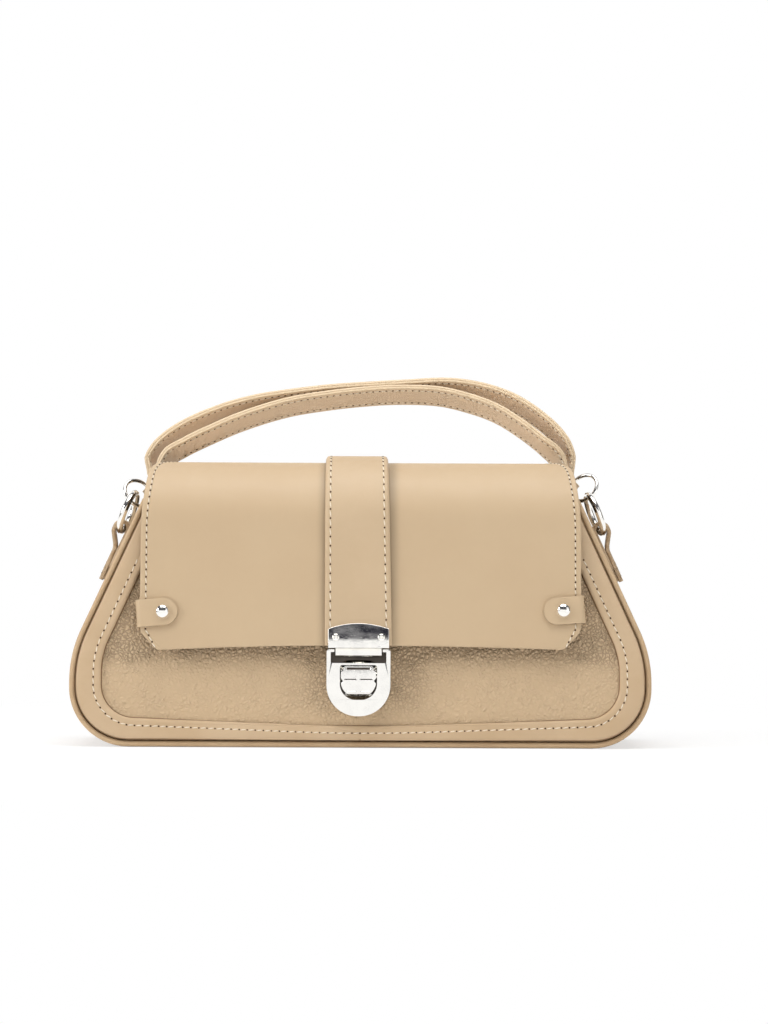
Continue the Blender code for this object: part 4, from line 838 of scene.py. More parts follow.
def flap_sheet(name, level, thickness, margin, last_run, material, stands_for, slot, stitched):
    """A layer of the flap; its seam line is drawn in and its edges are rubbed where stitched."""
    runs = [run + margin for run in FLAP_RUNS if run <= last_run]
    verts, wear = [], []
    for run in runs:
        half = flap_edge(run - margin) - margin
        inner = half - FLAP_EDGE_STEPS[-1]
        left = [(-half + step, step) for step in FLAP_EDGE_STEPS]
        shares = [-1 + 2 * i / FLAP_MIDDLE_STEPS for i in range(1, FLAP_MIDDLE_STEPS)]
        middle = [(inner * share, 1) for share in shares]
        right = [(-x, step) for x, step in reversed(left)]
        for x, step in left + middle + right:
            near = min(step, max(0, run - margin) * 0.8 + 0.0000001)
            seam = exp(-(((step - FLAP_STITCH) / 0.0005) ** 2)) if stitched else 0
            sunk = 0.00012 * seam + 0.00022 * max(0, 1 - near / 0.0009) ** 2
            verts.append(on_flap(x, run, level - sunk))
            wear.append(step < 0.0001 or run - margin < 0.00005)
    edge = 0.00035 if stitched else 0.0002
    flap_piece(name, verts, wear, len(runs), thickness, edge, material, stands_for, slot)


look = (flap_leather, ["flap_leather", "flap_rear_leather"], "smooth_leather", True)
flap_sheet("flap_leather_sheet", 0, FLAP_THICKNESS, 0, FLAP_RUN, *look)
low = -FLAP_THICKNESS - SEAM_GAP
look = (cloth.material, ["flap_lining"], "lining_cloth", False)
flap_sheet("flap_lining_sheet", low, 0.0008, 0.0006, FLAP_CREST_RUN, *look)


def flap_out(across, run):
    return (on_flap(across, run, 0.001) - on_flap(across, run)).normalized()


SIDES = (("left", -1), ("right", 1))
for name, side in SIDES:
    middle = FLAP_HALF_WIDTH - FLAP_STITCH
    turn = [
        (FLAP_HALF_WIDTH - FLAP_CORNER_CUT + 0.0018, 0.0024, 0),
        (middle, FLAP_CORNER_CUT + 0.4 * FLAP_STITCH, 0.0050),
        (middle, 0.0200, 0),
    ]
    places = [(p.x, p.y) for p in rounded(turn, closed=False, steps=8, stretch=4)]
    for run in np.linspace(0.0215, FLAP_CREST_RUN + 0.036, 60):
        places.append((flap_half(run) - FLAP_STITCH, run))
    path = [on_flap(side * x, run) for x, run in places]
    outs = [flap_out(side * x, run) for x, run in places]
    pitch = 0.0037 if side < 0 else 0.0034
    stitch_line(f"flap_stitching_{name}", path, outs, None, FLAP_BENDS, pitch=pitch)


# The centre strap.
# A narrow strap of the same calf over a thin filler, its edges turned under, sewn down both
# sides over the flap from the lock to the back panel.
STRAP_STITCH = 0.0027
STRAP_LEVEL = 0.0015
STRAP_THICKNESS = 0.0012
STRAP_RUN = FLAP_RUN - 0.006

strap_leather = smooth_leather(
    "smooth_beige_strap_leather", tone(204, 179, 146), tone(197, 171, 137)
)


def strap_half(run):
    return float(np.interp(run, (0, FLAP_CREST_RUN), (0.0168, 0.0158)))


def strap_middle(run):
    """The strap's own middle: it was sewn on slightly askew."""
    return float(np.interp(run, (0, FLAP_CREST_RUN), (-0.0010, -0.0024)))


def strap_lift(run):
    """How far the strap's filler lifts it off the flap, away from the lock and its sewn end."""
    rise = float(np.interp(run, (0.008, 0.022, STRAP_RUN - 0.01, STRAP_RUN), (0, 1, 1, 0)))
    crest = float(np.exp(-(((run - FLAP_CREST_RUN) / 0.022) ** 2)))
    return 0.0011 * rise + 0.0009 * crest


STRAP_EDGE_STEPS = (
    0, 0.0001, 0.0003, 0.0007, 0.0012, 0.0018, 0.0023, 0.0025, 0.0027, 0.0029,
    0.0032, 0.0038, 0.0048, 0.0064, 0.0085, 0.011, 0.014,
)


def centre_strap():
    """The strap's skin: turned edges that roll down to the flap, and a seam line drawn in."""
    runs = runs_with(STRAP_RUN, (0, 0.0002, 0.0006, 0.0012, 0.002, 0.004), 0.0016)
    verts, wear = [], []
    for run in runs:
        half = strap_half(run)
        left = [(-half + step, step) for step in STRAP_EDGE_STEPS]
        for x, step in left + [(0, half)] + [(-x, step) for x, step in reversed(left)]:
            roll = max(0, 1 - step / 0.0016)
            level = STRAP_LEVEL + strap_lift(run) * (1 - 0.75 * roll**2)
            seam = exp(-(((step - STRAP_STITCH) / 0.00045) ** 2))
            level -= 0.00014 * seam + 0.00035 * roll**3
            verts.append(on_flap(x + strap_middle(run), run, level))
            wear.append(step < 0.0001)
    look = (strap_leather, ["flap_strap", "flap_strap_rear"], "smooth_leather")
    flap_piece("centre_strap", verts, wear, len(runs), STRAP_THICKNESS, 0.0003, *look)


centre_strap()
for name, side in SIDES:
    path, outs = [], []
    for run in np.linspace(0.0105, STRAP_RUN - 0.002, 90):
        across = strap_middle(run) + side * (strap_half(run) - STRAP_STITCH)
        path.append(on_flap(across, run, STRAP_LEVEL + strap_lift(run) - 0.0001))
        outs.append(flap_out(0, run))
    stitch_line(f"strap_stitching_{name}", path, outs, None, FLAP_BENDS, pitch=0.0046)


# The side tabs.
# A strip of calf folded round each side edge of the flap and held by a domed rivet through
# both leaves. They sit a little askew, as sewn by hand.
TAB_HALF_HEIGHT = 0.0069
TAB_THICKNESS = 0.0012
TAB_FRONT = 0.0084
TAB_REAR = 0.0031
TAB_END = 0.0916
TAB_REAR_END = 0.0960
TAB_REACH = 0.1123
TAB_ASKEW = radians(4.8)
RIVETS = {"left": (-0.0991, 0.0640), "right": (0.1016, 0.0653)}


def side_tab(name, side):
    """A tab's outer leaf with its round end, the turn round the flap's edge and the inner leaf."""
    fold = (TAB_FRONT - TAB_REAR) / 2
    edge = TAB_REACH - fold
    across, up = RIVETS[name]
    stations = []
    for step in range(1, 13):
        turn = pi / 2 * step / 12
        stations.append((TAB_END + TAB_HALF_HEIGHT * (1 - cos(turn)), TAB_FRONT, sin(turn)))
    stations += [(x, TAB_FRONT, 1) for x in np.linspace(0.0999, edge, 8)]
    for step in range(1, 12):
        turn = pi * step / 12
        stations.append((edge + fold * sin(turn), TAB_REAR + fold + fold * cos(turn), 1))
    stations += [(x, TAB_REAR, 1) for x in np.linspace(edge, TAB_REAR_END, 8)]
    shares = (-1, -0.98, -0.94, -0.86, -0.7, -0.4, 0, 0.4, 0.7, 0.86, 0.94, 0.98, 1)
    verts, wear = [], []
    for x, level, height in stations:
        for share in shares:
            spot = Vector((side * x - across, share * height * TAB_HALF_HEIGHT))
            spot = Matrix.Rotation(TAB_ASKEW, 2) @ spot
            verts.append(front @ Vector((spot.x + across, spot.y + up, level)))
            wear.append(abs(share) > 0.99 or x < TAB_END + 0.0002)
    faces = strips(len(stations), len(shares))
    if side > 0:
        faces = [face[::-1] for face in faces]
    look = (flap_leather, "flap", [f"side_tab_{name}"], "smooth_leather", wear)
    obj = piece(f"side_tab_{name}_leather", verts, faces, *look)
    made_solid(wall(obj, TAB_THICKNESS, -1, 0.00035, 3))


def turned(name, profile, place, material, body, stands_for=(), slot="chrome", segments=48):
    """A lathe-turned piece; its profile (radius, height) runs from the top down."""
    verts, faces, rings = [], [], []
    for radius, height in profile:
        if radius < 0.000001:
            rings.append([len(verts)])
            verts.append(place @ Vector((0, 0, height)))
        else:
            rings.append(list(range(len(verts), len(verts) + segments)))
            for step in range(segments):
                turn = 2 * pi * step / segments
                verts.append(place @ Vector((radius * cos(turn), radius * sin(turn), height)))
    for upper, lower in zip(rings, rings[1:]):
        for i in range(segments):
            j = (i + 1) % segments
            corners = [upper[i % len(upper)], lower[i % len(lower)]]
            corners += [lower[j % len(lower)], upper[j % len(upper)]]
            corners = list(dict.fromkeys(corners))
            if len(corners) > 2:
                faces.append(tuple(corners))
    obj = piece(name, verts, faces, material, body, stands_for, slot)
    obj.data.set_sharp_from_angle(angle=radians(40))
    return obj


def polished_metal(name, tint, dark, roughness):
    """Plated metal, with the faint cloudiness and hairlines of handling."""
    metal = Finish(name, metallic=1.0)
    place = metal.place()
    cloud = metal.fit(metal.noise(160, 4, 0.6, place), 0.3, 0.75)
    along = {"Vector": place, "Rotation": (0.3, 0.5, 0.8), "Scale": (1, 9, 14)}
    stretched = metal.node("ShaderNodeMapping", None, along)
    lines = metal.fit(metal.noise(420, 3, 0.6, stretched), 0.52, 0.75)
    metal.colour(metal.blend(cloud * 0.35, tint, dark))
    metal.roughness(metal.fit(cloud + lines * 0.4, 0, 1.4, roughness, roughness + 0.1))
    metal.relief(lines, 0.000012, 0.25)
    return metal.material


def domed(radius, low, height, steps):
    """The profile of a dome, from its top down to its rim."""
    turns = [pi / 2 * step / steps for step in range(steps + 1)]
    return [(radius * sin(turn), low + height * cos(turn)) for turn in turns]


chrome = polished_metal("polished_chrome", tone(253, 251, 246), tone(238, 236, 232), 0.04)

for name, side in SIDES:
    side_tab(name, side)
    head = domed(0.0035, 0.0004 + TAB_FRONT, 0.0022, 14)
    head += [(0.0036, TAB_FRONT + 0.0003), (0.0035, TAB_FRONT), (0.0010, TAB_FRONT)]
    head += [(0.0010, TAB_REAR), (0.0024, TAB_REAR), (0.0024, 0.0026), (0.0019, 0.0023)]
    head.append((0, 0.0023))
    place = front @ Matrix.Translation((*RIVETS[name], 0))
    turned(f"side_rivet_{name}_domed", head, place, chrome, "flap", [f"side_rivet_{name}"])


# The lock's base plate.
# A cast and plated U with an open-topped window for the tongue and a cut-out for the button,
# riveted through the front panel to a steel plate inside.
LOCK_FRONT = 0.0070

lock_front = front @ Matrix.Translation((-0.0009, 0, 0))


def plate(
    name, rings, low, high, material, body,
    stands_for=(), slot="chrome", round_edge=0.0002, place=lock_front,
):
    """A flat piece between two levels, cut to an outline and any holes, with rounded edges."""
    curve = bpy.data.curves.new(name, "CURVE")
    curve.dimensions = "2D"
    curve.fill_mode = "BOTH"
    curve.extrude = (high - low) / 2
    for ring in rings:
        spline = curve.splines.new("POLY")
        spline.points.add(len(ring) - 1)
        for point, spot in zip(spline.points, ring):
            point.co = (spot[0], spot[1], 0, 1)
        spline.use_cyclic_u = True
    shape = linked(name, curve)
    mesh = evaluated(shape)
    bpy.data.objects.remove(shape)
    mesh.transform(place @ Matrix.Translation((0, 0, (low + high) / 2)))
    obj = outward(linked(name, mesh))
    mesh.materials.clear()
    mesh.materials.append(material)
    rounded_edges(obj, round_edge, 4)
    obj.modifiers.new("even shading", "WEIGHTED_NORMAL")
    mesh.shade_smooth()
    return settle(made_solid(obj), body, stands_for, slot)


def u_shape(half, bottom, top, radius, top_radius, steps=24):
    corners = [(-half, top, top_radius), (-half, bottom, radius)]
    corners += [(half, bottom, radius), (half, top, top_radius)]
    return rounded(corners, steps=steps, stretch=1)


dark_steel = polished_metal("dull_steel", tone(92, 86, 80), tone(58, 52, 48), 0.35)
# Half the plate's outline: (across, up, radius), from its foot, over its arm, to the window.
lock_half = [
    (0.01595, 0.0120, 0.0156), (0.01595, 0.0456, 0.0014), (0.0121, 0.0456, 0.0004),
    (0.0121, 0.0441, 0.0003), (0.0139, 0.0441, 0.0003), (0.0139, 0.0386, 0.0008),
]
lock_outline = lock_half + [(-x, up, radius) for x, up, radius in reversed(lock_half)]
rings = [
    rounded(lock_outline, steps=16, stretch=1),
    u_shape(0.0093, 0.0202, 0.0376, 0.0080, 0.0012),
]
look = (chrome, "root", ["lock_base"])
plate("lock_base_plate", rings, SEAM_GAP, LOCK_FRONT, *look, round_edge=0.00025)
floor = [u_shape(0.0137, 0.0388, 0.0440, 0.0005, 0.0005, 4)]
plate("lock_window_floor", floor, SEAM_GAP, 0.0012, dark_steel, "root")
look = (dark_steel, "root", ["lock_back_plate"], "dark_steel")
inner = [u_shape(0.01495, 0.0130, 0.0446, 0.0080, 0.0012)]
plate("lock_inner_plate", inner, -0.0038, -0.0028, *look)


# The lock's button.
# A plated zinc casting that slides down against a spring: two shallow cushions with a waist
# and finger grooves between them, a narrower neck above, and a flange behind the plate.
BUTTON_BOTTOM = 0.0229
BUTTON_TOP = 0.0371
BUTTON_MIDDLE = 0.0304
BUTTON_ROUND = 0.0077
BUTTON_FOOT = 0.0294
BUTTON_CORNER = 0.0010
DASH = (0.0010, 0.0068)
LINE = (0.0012, 0.0058)
LINE_HEIGHT = 0.0246
SLOT_WIDTH = 0.0059
SLOT = (0.0351, 0.0365)


def button_half(up):
    """Half the button's width at a height: round foot, waist, neck and shoulder."""
    below = max(0, BUTTON_FOOT - up)
    round_foot = below > 0
    reach = 0.0011 + sqrt(max(0, BUTTON_ROUND**2 - below**2)) if round_foot else 0.0088
    waist = 0.0011 * max(0, 1 - abs(up - 0.0297) / 0.0013)
    neck = float(np.interp(up, (0.0341, 0.0350), (0, 0.00132)))
    corner = max(0, up - (BUTTON_TOP - BUTTON_CORNER))
    return reach - waist - neck - (BUTTON_CORNER - sqrt(max(0, BUTTON_CORNER**2 - corner**2)))


def button_level(across, up):
    """The button's face: two cushions, their grooves, and the slot along its top."""
    across = abs(across)
    level = LOCK_FRONT + 0.0006 - 0.00012 * ((up - 0.0288) / 0.006) ** 2
    level -= 0.0004 * (across / 0.0088) ** 3
    level -= 0.0006 * max(0, 1 - (up - BUTTON_BOTTOM) / 0.0006) ** 2
    if DASH[0] < across < DASH[1] and abs(up - BUTTON_MIDDLE) < 0.00028:
        level -= 0.0007
    if LINE[0] < across < LINE[1] and abs(up - LINE_HEIGHT) < 0.00020:
        level -= 0.00016
    if across < SLOT_WIDTH and SLOT[0] < up < SLOT[1]:
        level -= 0.0002 + 0.55 * (up - SLOT[0])
    return level


def lock_button():
    ups = list(np.arange(BUTTON_BOTTOM, BUTTON_TOP + 0.00001, 0.0001))
    shares = [-1, -0.985, -0.95] + list(np.linspace(-0.9, 0.9, 61)) + [0.95, 0.985, 1]
    verts = []
    for up in ups:
        half = button_half(min(up, BUTTON_TOP - 0.00001))
        for share in shares:
            verts.append(lock_front @ Vector((share * half, up, button_level(share * half, up))))
    faces = strips(len(ups), len(shares))
    look = (chrome, "lock_button", ["lock_button"], "chrome")
    obj = piece("lock_button_cushions", verts, faces, *look)
    # The faces of the waist groove and of the top slot take the dark steel: painted shade in these
    # narrow recesses.
    obj.data.materials.append(dark_steel)
    for face in obj.data.polygons:
        centre = lock_front.inverted() @ face.center
        across, up = abs(centre.x), centre.y
        dash = DASH[0] < across < DASH[1] and abs(up - BUTTON_MIDDLE) < 0.00030
        face.material_index = int(dash or across < SLOT_WIDTH and SLOT[0] < up < SLOT[1])
    made_solid(wall(obj, 0.0042, -1))
    flange = [u_shape(0.0108, 0.0224, 0.0361, 0.0077, 0.0016)]
    plate("lock_button_flange", flange, 0.0006, 0.0018, dark_steel, "lock_button")


lock_button()


# The lock's tongue plate.
# A chromed plate with an arched top, screwed through the strap and flap to a steel backing.
# It folds under the flap's edge into the tongue, whose lip catches behind the base plate.
TONGUE_FRONT = 0.0105
TONGUE_BOTTOM = 0.0459
SCREW_ACROSS = 0.0114
SCREW_HEIGHT = 0.0512


def arch(share):
    return 0.0556 + 0.0028 * (1 - share**2)


def tongue_plate():
    rows, columns = 30, 40
    verts = []
    for row in range(rows + 1):
        for column in range(columns + 1):
            share = -1 + 2 * column / columns
            up = TONGUE_BOTTOM + (arch(share) - TONGUE_BOTTOM) * row / rows
            bend = (up - TONGUE_BOTTOM) / 0.0125
            level = TONGUE_FRONT - 0.0008 * bend**2 - 0.00025 * share**2
            verts.append(lock_front @ Vector((share * 0.0153, up, level)))
    faces = strips(rows + 1, columns + 1)
    look = (chrome, "flap", ["lock_tongue_plate"], "chrome")
    obj = piece("lock_tongue_plate_arched", verts, faces, *look)
    shell = wall(obj, 0.0011, -1, 0.0004, 4)
    shell.modifiers.new("even shading", "WEIGHTED_NORMAL")
    made_solid(shell)
    sideways = lock_front @ Matrix(((0, 0, 1, 0), (0, 1, 0, 0), (-1, 0, 0, 0), (0, 0, 0, 1)))
    fold = [(-0.0034, 0.0421), (-0.0064, 0.0421), (-0.0070, 0.0426), (-0.0070, 0.0450)]
    fold += [(-0.0098, 0.0457), (-0.0104, 0.0461), (-0.0104, 0.0470), (-0.0052, 0.0470)]
    fold += [(-0.0052, 0.0434), (-0.0034, 0.0434)]
    edge = {"round_edge": 0.00025, "place": sideways}
    plate("lock_tongue", [fold], -0.0116, 0.0116, chrome, "flap", **edge)


tongue_plate()
corners = [(-0.0148, 0.0485), (0.0148, 0.0485), (0.0148, 0.0560), (-0.0148, 0.0560)]
backing = [rounded([(*corner, 0.0012) for corner in corners], steps=8, stretch=1)]
look = (dark_steel, "flap", ["lock_tongue_backing"], "dark_steel")
plate("lock_tongue_backing_plate", backing, 0.0035, 0.0043, *look)
for name, side in SIDES:
    level = TONGUE_FRONT - 0.00035
    head = [(0, 0.0002), (0.0005, 0.0002), (0.0007, 0.00045), (0.0010, 0.0007)]
    head += [(0.0014, 0.00065), (0.0017, 0.0004), (0.0018, -0.0001), (0.0008, -0.0001)]
    head = [(radius, level + height) for radius, height in head] + [(0.0008, 0.0029), (0, 0.0028)]
    place = lock_front @ Matrix.Translation((side * SCREW_ACROSS, SCREW_HEIGHT, 0))
    turned(f"lock_screw_{name}_head", head, place, chrome, "flap", [f"lock_screw_{name}"])


# The ring tabs.
# A strip of the band's leather folded round each ring, with both its leaves laid on the gusset
# and sewn through it in a small box.
RING_OUT = 0.0046
RING_UP = 0.06573
EYE = 0.00345
GUSSET_LEAN = 0.417118
GUSSET_RISE = 0.908852
GUSSET_KNEE = (0.146, 0.046262)
RING_TAB_HALF_WIDTH = 0.0050
RING_TAB_PLY = 0.0019


def gusset_side(side):
    """A place beside the bag: out from the gusset, up along it, and towards the front."""
    rise = Vector((-GUSSET_LEAN * side, 0, GUSSET_RISE))
    out = Vector((GUSSET_RISE * side, 0, GUSSET_LEAN))
    strap_shadow = Matrix((out, rise, Vector((0, -1, 0)))).transposed().to_4x4()
    strap_shadow.translation = Vector((GUSSET_KNEE[0] * side, 0, GUSSET_KNEE[1]))
    return strap_shadow


tab_run = [
    (0.0012, 0.0397, 0),
    (0.0012, RING_UP - 0.0075, 0.0060),
    (RING_OUT - EYE, RING_UP - 0.0020, 0.0030),
    (RING_OUT - EYE, RING_UP + 0.0014 + EYE, EYE * 0.98),
    (RING_OUT + EYE, RING_UP + 0.0014 + EYE, EYE * 0.98),
    (RING_OUT + EYE, RING_UP - 0.0010, 0.0040),
    (0.0033, RING_UP - 0.0085, 0.0080),
    (0.0033, 0.0390, 0),
]


def ring_tab(name, side):
    run = rounded(tab_run, closed=False, steps=12, stretch=7)
    place = gusset_side(side)

    def spot(row, share):
        end = min(1, 0.55 + 0.45 * min(row, len(run) - 1 - row) / 3)
        return place @ Vector((run[row].x, run[row].y, share * RING_TAB_HALF_WIDTH * end))

    look = (band_leather, f"ring_tab_{name}", "band_leather")
    obj = sheet(f"ring_tab_{name}_leather", len(run), 10, spot, *look)
    made_solid(wall(obj, RING_TAB_PLY, 0, 0.0004, 3))
    corners = [(-0.0034, 0.0418), (-0.0034, 0.0492), (0.0034, 0.0492), (0.0034, 0.0418)]
    box = rounded([(*corner, 0) for corner in corners], steps=1, stretch=8)
    out = (place.to_3x3() @ Vector((1, 0, 0))).normalized()
    path = [place @ Vector((0.0042, p.y, p.x)) for p in box + box[:1]]
    fine = {"slot": "band_leather", "pitch": 0.0026}
    stitch_line(f"ring_tab_{name}_stitching", path, [out] * len(path), "root", **fine)


for name, side in SIDES:
    ring_tab(name, side)


# The rings.
# Cast rings, polished and plated: a stout one held in each tab, and a slim one linked through
# it that carries the handle.
HANDLE_AXIS_HEIGHT = 0.124023
HANDLE_LEAN = radians(-33)
HANDLE = Matrix.Translation((0, 0, HANDLE_AXIS_HEIGHT)) @ Matrix.Rotation(HANDLE_LEAN, 4, "X")
HANDLE_RING = 0.0075
HANDLE_RING_WIRE = 0.0010
HANDLE_RING_CENTRES = {-1: Vector((0.1143, 0.0010, 0.0042)), 1: Vector((0.1137, 0.0010, 0.0086))}
HANDLE_RING_SIDE = Vector((sin(radians(60)), -cos(radians(60)), 0))
TAB_RING = 0.01025
TAB_RING_WIRE = 0.00175
TAB_RING_TILT = radians(21)
TAB_RING_ACROSS = Vector((0.129929, -0.990268, 0.049875))
TAB_RING_CENTRE = Vector((0.119091, 0, 0.117488))
UPWARD = Vector((0, 0, 1))


def torus(name, radius, wire, place, body, stands_for):
    """A ring of round wire in the X and Y of its place."""
    around, sides = 120, 28
    verts = []
    for i in range(around):
        turn = 2 * pi * i / around
        for k in range(sides):
            tilt = 2 * pi * k / sides
            reach = radius + wire * cos(tilt)
            verts.append(place @ Vector((reach * cos(turn), reach * sin(turn), wire * sin(tilt))))
    faces = strips(around, sides, around=True, closed=True, flip=True)
    piece(name, verts, faces, chrome, body, [stands_for], "chrome")


def ring_place(across, up, centre):
    place = Matrix((across, up, across.cross(up))).transposed().to_4x4()
    place.translation = centre
    return place


def mirrored(vector, side):
    return Vector((vector.x * side, vector.y, vector.z))


for name, side in SIDES:
    rise = Vector((-sin(TAB_RING_TILT) * side, 0, cos(TAB_RING_TILT)))
    across, centre = mirrored(TAB_RING_ACROSS, side), mirrored(TAB_RING_CENTRE, side)
    place = ring_place(across, rise, centre)
    ring = (TAB_RING, TAB_RING_WIRE, place, f"ring_{name}")
    torus(f"tab_ring_{name}_chrome", *ring, f"tab_ring_{name}")
    centre = mirrored(HANDLE_RING_CENTRES[side], side)
    place = HANDLE @ ring_place(mirrored(HANDLE_RING_SIDE, side), UPWARD, centre)
    ring = (HANDLE_RING, HANDLE_RING_WIRE, place, "handle")
    torus(f"handle_ring_{name}_chrome", *ring, f"handle_ring_{name}")


# The handle.
# Two straps of two plies each: smooth calf outside, soft grained leather inside, glued and
# sewn down both edges, edges painted. The outer strap is turned back round a ring at each end.
PLY = 0.00130
PLY_STEP = 0.00136
PLY_EDGE = 0.00034
PLY_SEAM = 0.72
HANDLE_HALF_WIDTH = 0.0076
END_HALF_WIDTH = 0.0023
END_TWIST = 0.030
LOOP_RADIUS = 0.0021
LOOP_LEVEL = 0.0034
LOOP_SEAT_TURN = radians(-57)
LOOP_TURN = radians(-32)
SPAN = 0.1104
RISE = 0.0695
strap_outside = smooth_leather(
    "smooth_beige_handle_leather", tone(208, 184, 151), tone(197, 171, 138),
    rim=tone(226, 202, 168),
)
strap_inside = pebbled_leather(
    "grained_taupe_handle_lining", tone(226, 200, 168), tone(200, 172, 140),
    grain=0.0011, rim=tone(224, 200, 166),
)


def smoothed(points, steps):
    """A smooth path through the points that passes through each of them."""
    times = [0.0]
    for first, second in zip(points, points[1:]):
        times.append(times[-1] + (second - first).length)
    speeds = []
    for i in range(len(points)):
        low, high = max(0, i - 1), min(len(points) - 1, i + 1)
        speeds.append((points[high] - points[low]) / (times[high] - times[low]))
    path = []
    for i in range(len(points) - 1):
        span = times[i + 1] - times[i]
        for step in range(steps):
            t = step / steps
            leaving = (2 * t**3 - 3 * t**2 + 1) * points[i]
            leaving += (t**3 - 2 * t**2 + t) * span * speeds[i]
            reaching = (3 * t**2 - 2 * t**3) * points[i + 1]
            path.append(leaving + reaching + (t**3 - t**2) * span * speeds[i + 1])
    return path + [points[-1]]


# The loop lies across its ring: its axis, the way up it, and the way out of its outer leaf.
LOOP_AXIS = HANDLE_RING_SIDE * cos(LOOP_TURN) - UPWARD * sin(LOOP_TURN)
LOOP_UP = (UPWARD - LOOP_AXIS * LOOP_AXIS.z).normalized()
LOOP_OUT = -LOOP_AXIS.cross(LOOP_UP)
LOOP_SEAT = LOOP_RADIUS - 0.0013 - (HANDLE_RING - sqrt(HANDLE_RING**2 - END_HALF_WIDTH**2))


def loop_middle(side):
    """The middle of the strap's turn round a ring, with the left one seen as in a mirror."""
    reach = HANDLE_RING_SIDE * sin(LOOP_SEAT_TURN) + UPWARD * cos(LOOP_SEAT_TURN)
    return HANDLE_RING_CENTRES[side] + reach * (HANDLE_RING + LOOP_SEAT)


def strap_path(route, level, steps=14):
    """The outer face's path over the arch, from one ring to the other."""
    ends = {}
    for side in (-1, 1):
        middle = loop_middle(side) + LOOP_OUT * level
        ends[side] = [middle + LOOP_UP * reach for reach in (0.0015, 0.0045, 0.0075)]
    points = [mirrored(end, -1) for end in ends[-1]]
    depth = ends[1][-1].y
    points += [Vector((across * SPAN, back * depth, rise * RISE)) for across, rise, back in route]
    return smoothed(points + ends[1][::-1], steps)


def way_along(path, i):
    return (path[min(i + 1, len(path) - 1)] - path[max(i - 1, 0)]).normalized()


def strap_stations(path):
    """For each point: its place, the ways to the front edge and out, half the width, the run."""
    lengths = [0.0]
    for first, second in zip(path, path[1:]):
        lengths.append(lengths[-1] + (second - first).length)
    stations = []
    for i, (place, at) in enumerate(zip(path, lengths)):
        share = min(1, min(at, lengths[-1] - at) / END_TWIST)
        share = share * share * (3 - 2 * share)
        end = mirrored(LOOP_AXIS, -1 if at < lengths[-1] / 2 else 1)
        way = (end * (1 - share) + Vector((0, -1, 0)) * share).normalized()
        along = way_along(path, i)
        way = (way - along * way.dot(along)).normalized()
        half = END_HALF_WIDTH + (HANDLE_HALF_WIDTH - END_HALF_WIDTH) * share
        stations.append((place, way, way.cross(along), half, at))
    return stations


PLY_MARKS = [-0.86, -0.79, -0.755, -0.72, -0.685, -0.65, -0.45, -0.15]
PLY_MARKS += [-mark for mark in reversed(PLY_MARKS)]


def ply_section(half):
    """Round a ply: (across, below its outer face, share of the width, painted, face)."""
    edge, low, wide = PLY_EDGE, PLY - PLY_EDGE, half - PLY_EDGE
    turns = [(edge * sin(radians(15 * step)), edge * cos(radians(15 * step))) for step in range(7)]
    section = [(half * mark, 0, mark, 0, 1) for mark in PLY_MARKS]
    section += [(wide + rise, edge - fall, 1, 1, 1) for rise, fall in turns]
    section += [(wide + fall, low + rise, 1, 1, -1) for rise, fall in turns]
    section += [(half * mark, PLY, mark, 0, -1) for mark in PLY_MARKS[::-1]]
    section += [(-wide - rise, low + fall, -1, 1, -1) for rise, fall in turns]
    section += [(-wide - fall, edge - rise, -1, 1, 1) for rise, fall in turns]
    return section


def ply(name, stations, level, material, stands_for, slot, soften=None):
    """One ply of a strap; its level is measured out of the arch from the strap's outer face."""
    verts, wear = [], []
    for place, way, out, half, at in stations:
        section = ply_section(half)
        for across, depth, mark, painted, face in section:
            groove = 0.00012 * exp(-(((abs(mark) - PLY_SEAM) * half / 0.0005) ** 2))
            bulge = 0.00012 * (1 - mark * mark)
            height = level - depth + face * (bulge - groove) * (1 - painted)
            if soften and face < 0:
                height += soften(at, mark) * (1 - painted)
            verts.append(HANDLE @ (place + way * across + out * height))
            wear.append(painted)
    count = len(section)
    faces = [tuple(range(count))[::-1]] + strips(len(stations), count, around=True)
    faces.append(tuple(range(len(verts) - count, len(verts))))
    piece(name, verts, faces, material, "handle", [stands_for], slot, wear)


# The straps' routes: (across, rise, back), each a share of the span, the rise and the depth of
# the rings, since the arch stands in one plane and its ends reach forward to the rings.
outer_route = [
    (-0.983, 0.29, 0.95), (-0.998, 0.40, 0.80), (-0.960, 0.515, 0.55), (-0.842, 0.655, 0.25),
    (-0.665, 0.79, 0.1), (-0.50, 0.87, 0), (-0.34, 0.92, 0), (-0.15, 0.965, 0), (0.03, 0.99, 0),
    (0.20, 1.01, 0), (0.41, 1.028, 0), (0.58, 0.98, 0), (0.73, 0.875, 0), (0.87, 0.70, 0.1),
    (0.955, 0.55, 0.38), (0.978, 0.43, 0.7), (0.968, 0.31, 0.9),
]
inner_route = [
    (-0.912, 0.412, 0.6), (-0.836, 0.497, 0.35), (-0.72, 0.592, 0.1), (-0.565, 0.715, 0),
    (-0.355, 0.842, 0), (-0.15, 0.91, 0), (0.03, 0.948, 0), (0.18, 0.963, 0), (0.36, 0.95, 0),
    (0.50, 0.89, 0), (0.633, 0.797, 0), (0.75, 0.665, 0.1), (0.848, 0.53, 0.3),
    (0.914, 0.425, 0.55),
]


def loop_stations(side):
    """The leather's turn round a side's ring, from its tongue's tip to its outside."""
    middle = loop_middle(side)
    inside = middle - LOOP_OUT * LOOP_LEVEL
    places = [inside + LOOP_UP * reach for reach in (0.0045, 0.0031, 0.0016)]
    for step in range(17):
        turn = pi * step / 16
        places.append(middle - (LOOP_OUT * cos(turn) + LOOP_UP * sin(turn)) * LOOP_LEVEL)
    stations = []
    for i, place in enumerate(places):
        out = LOOP_AXIS.cross(-way_along(places, i))
        ways = [mirrored(way, side) for way in (place, LOOP_AXIS, out)]
        stations.append((*ways, END_HALF_WIDTH, 0.0))
    return stations


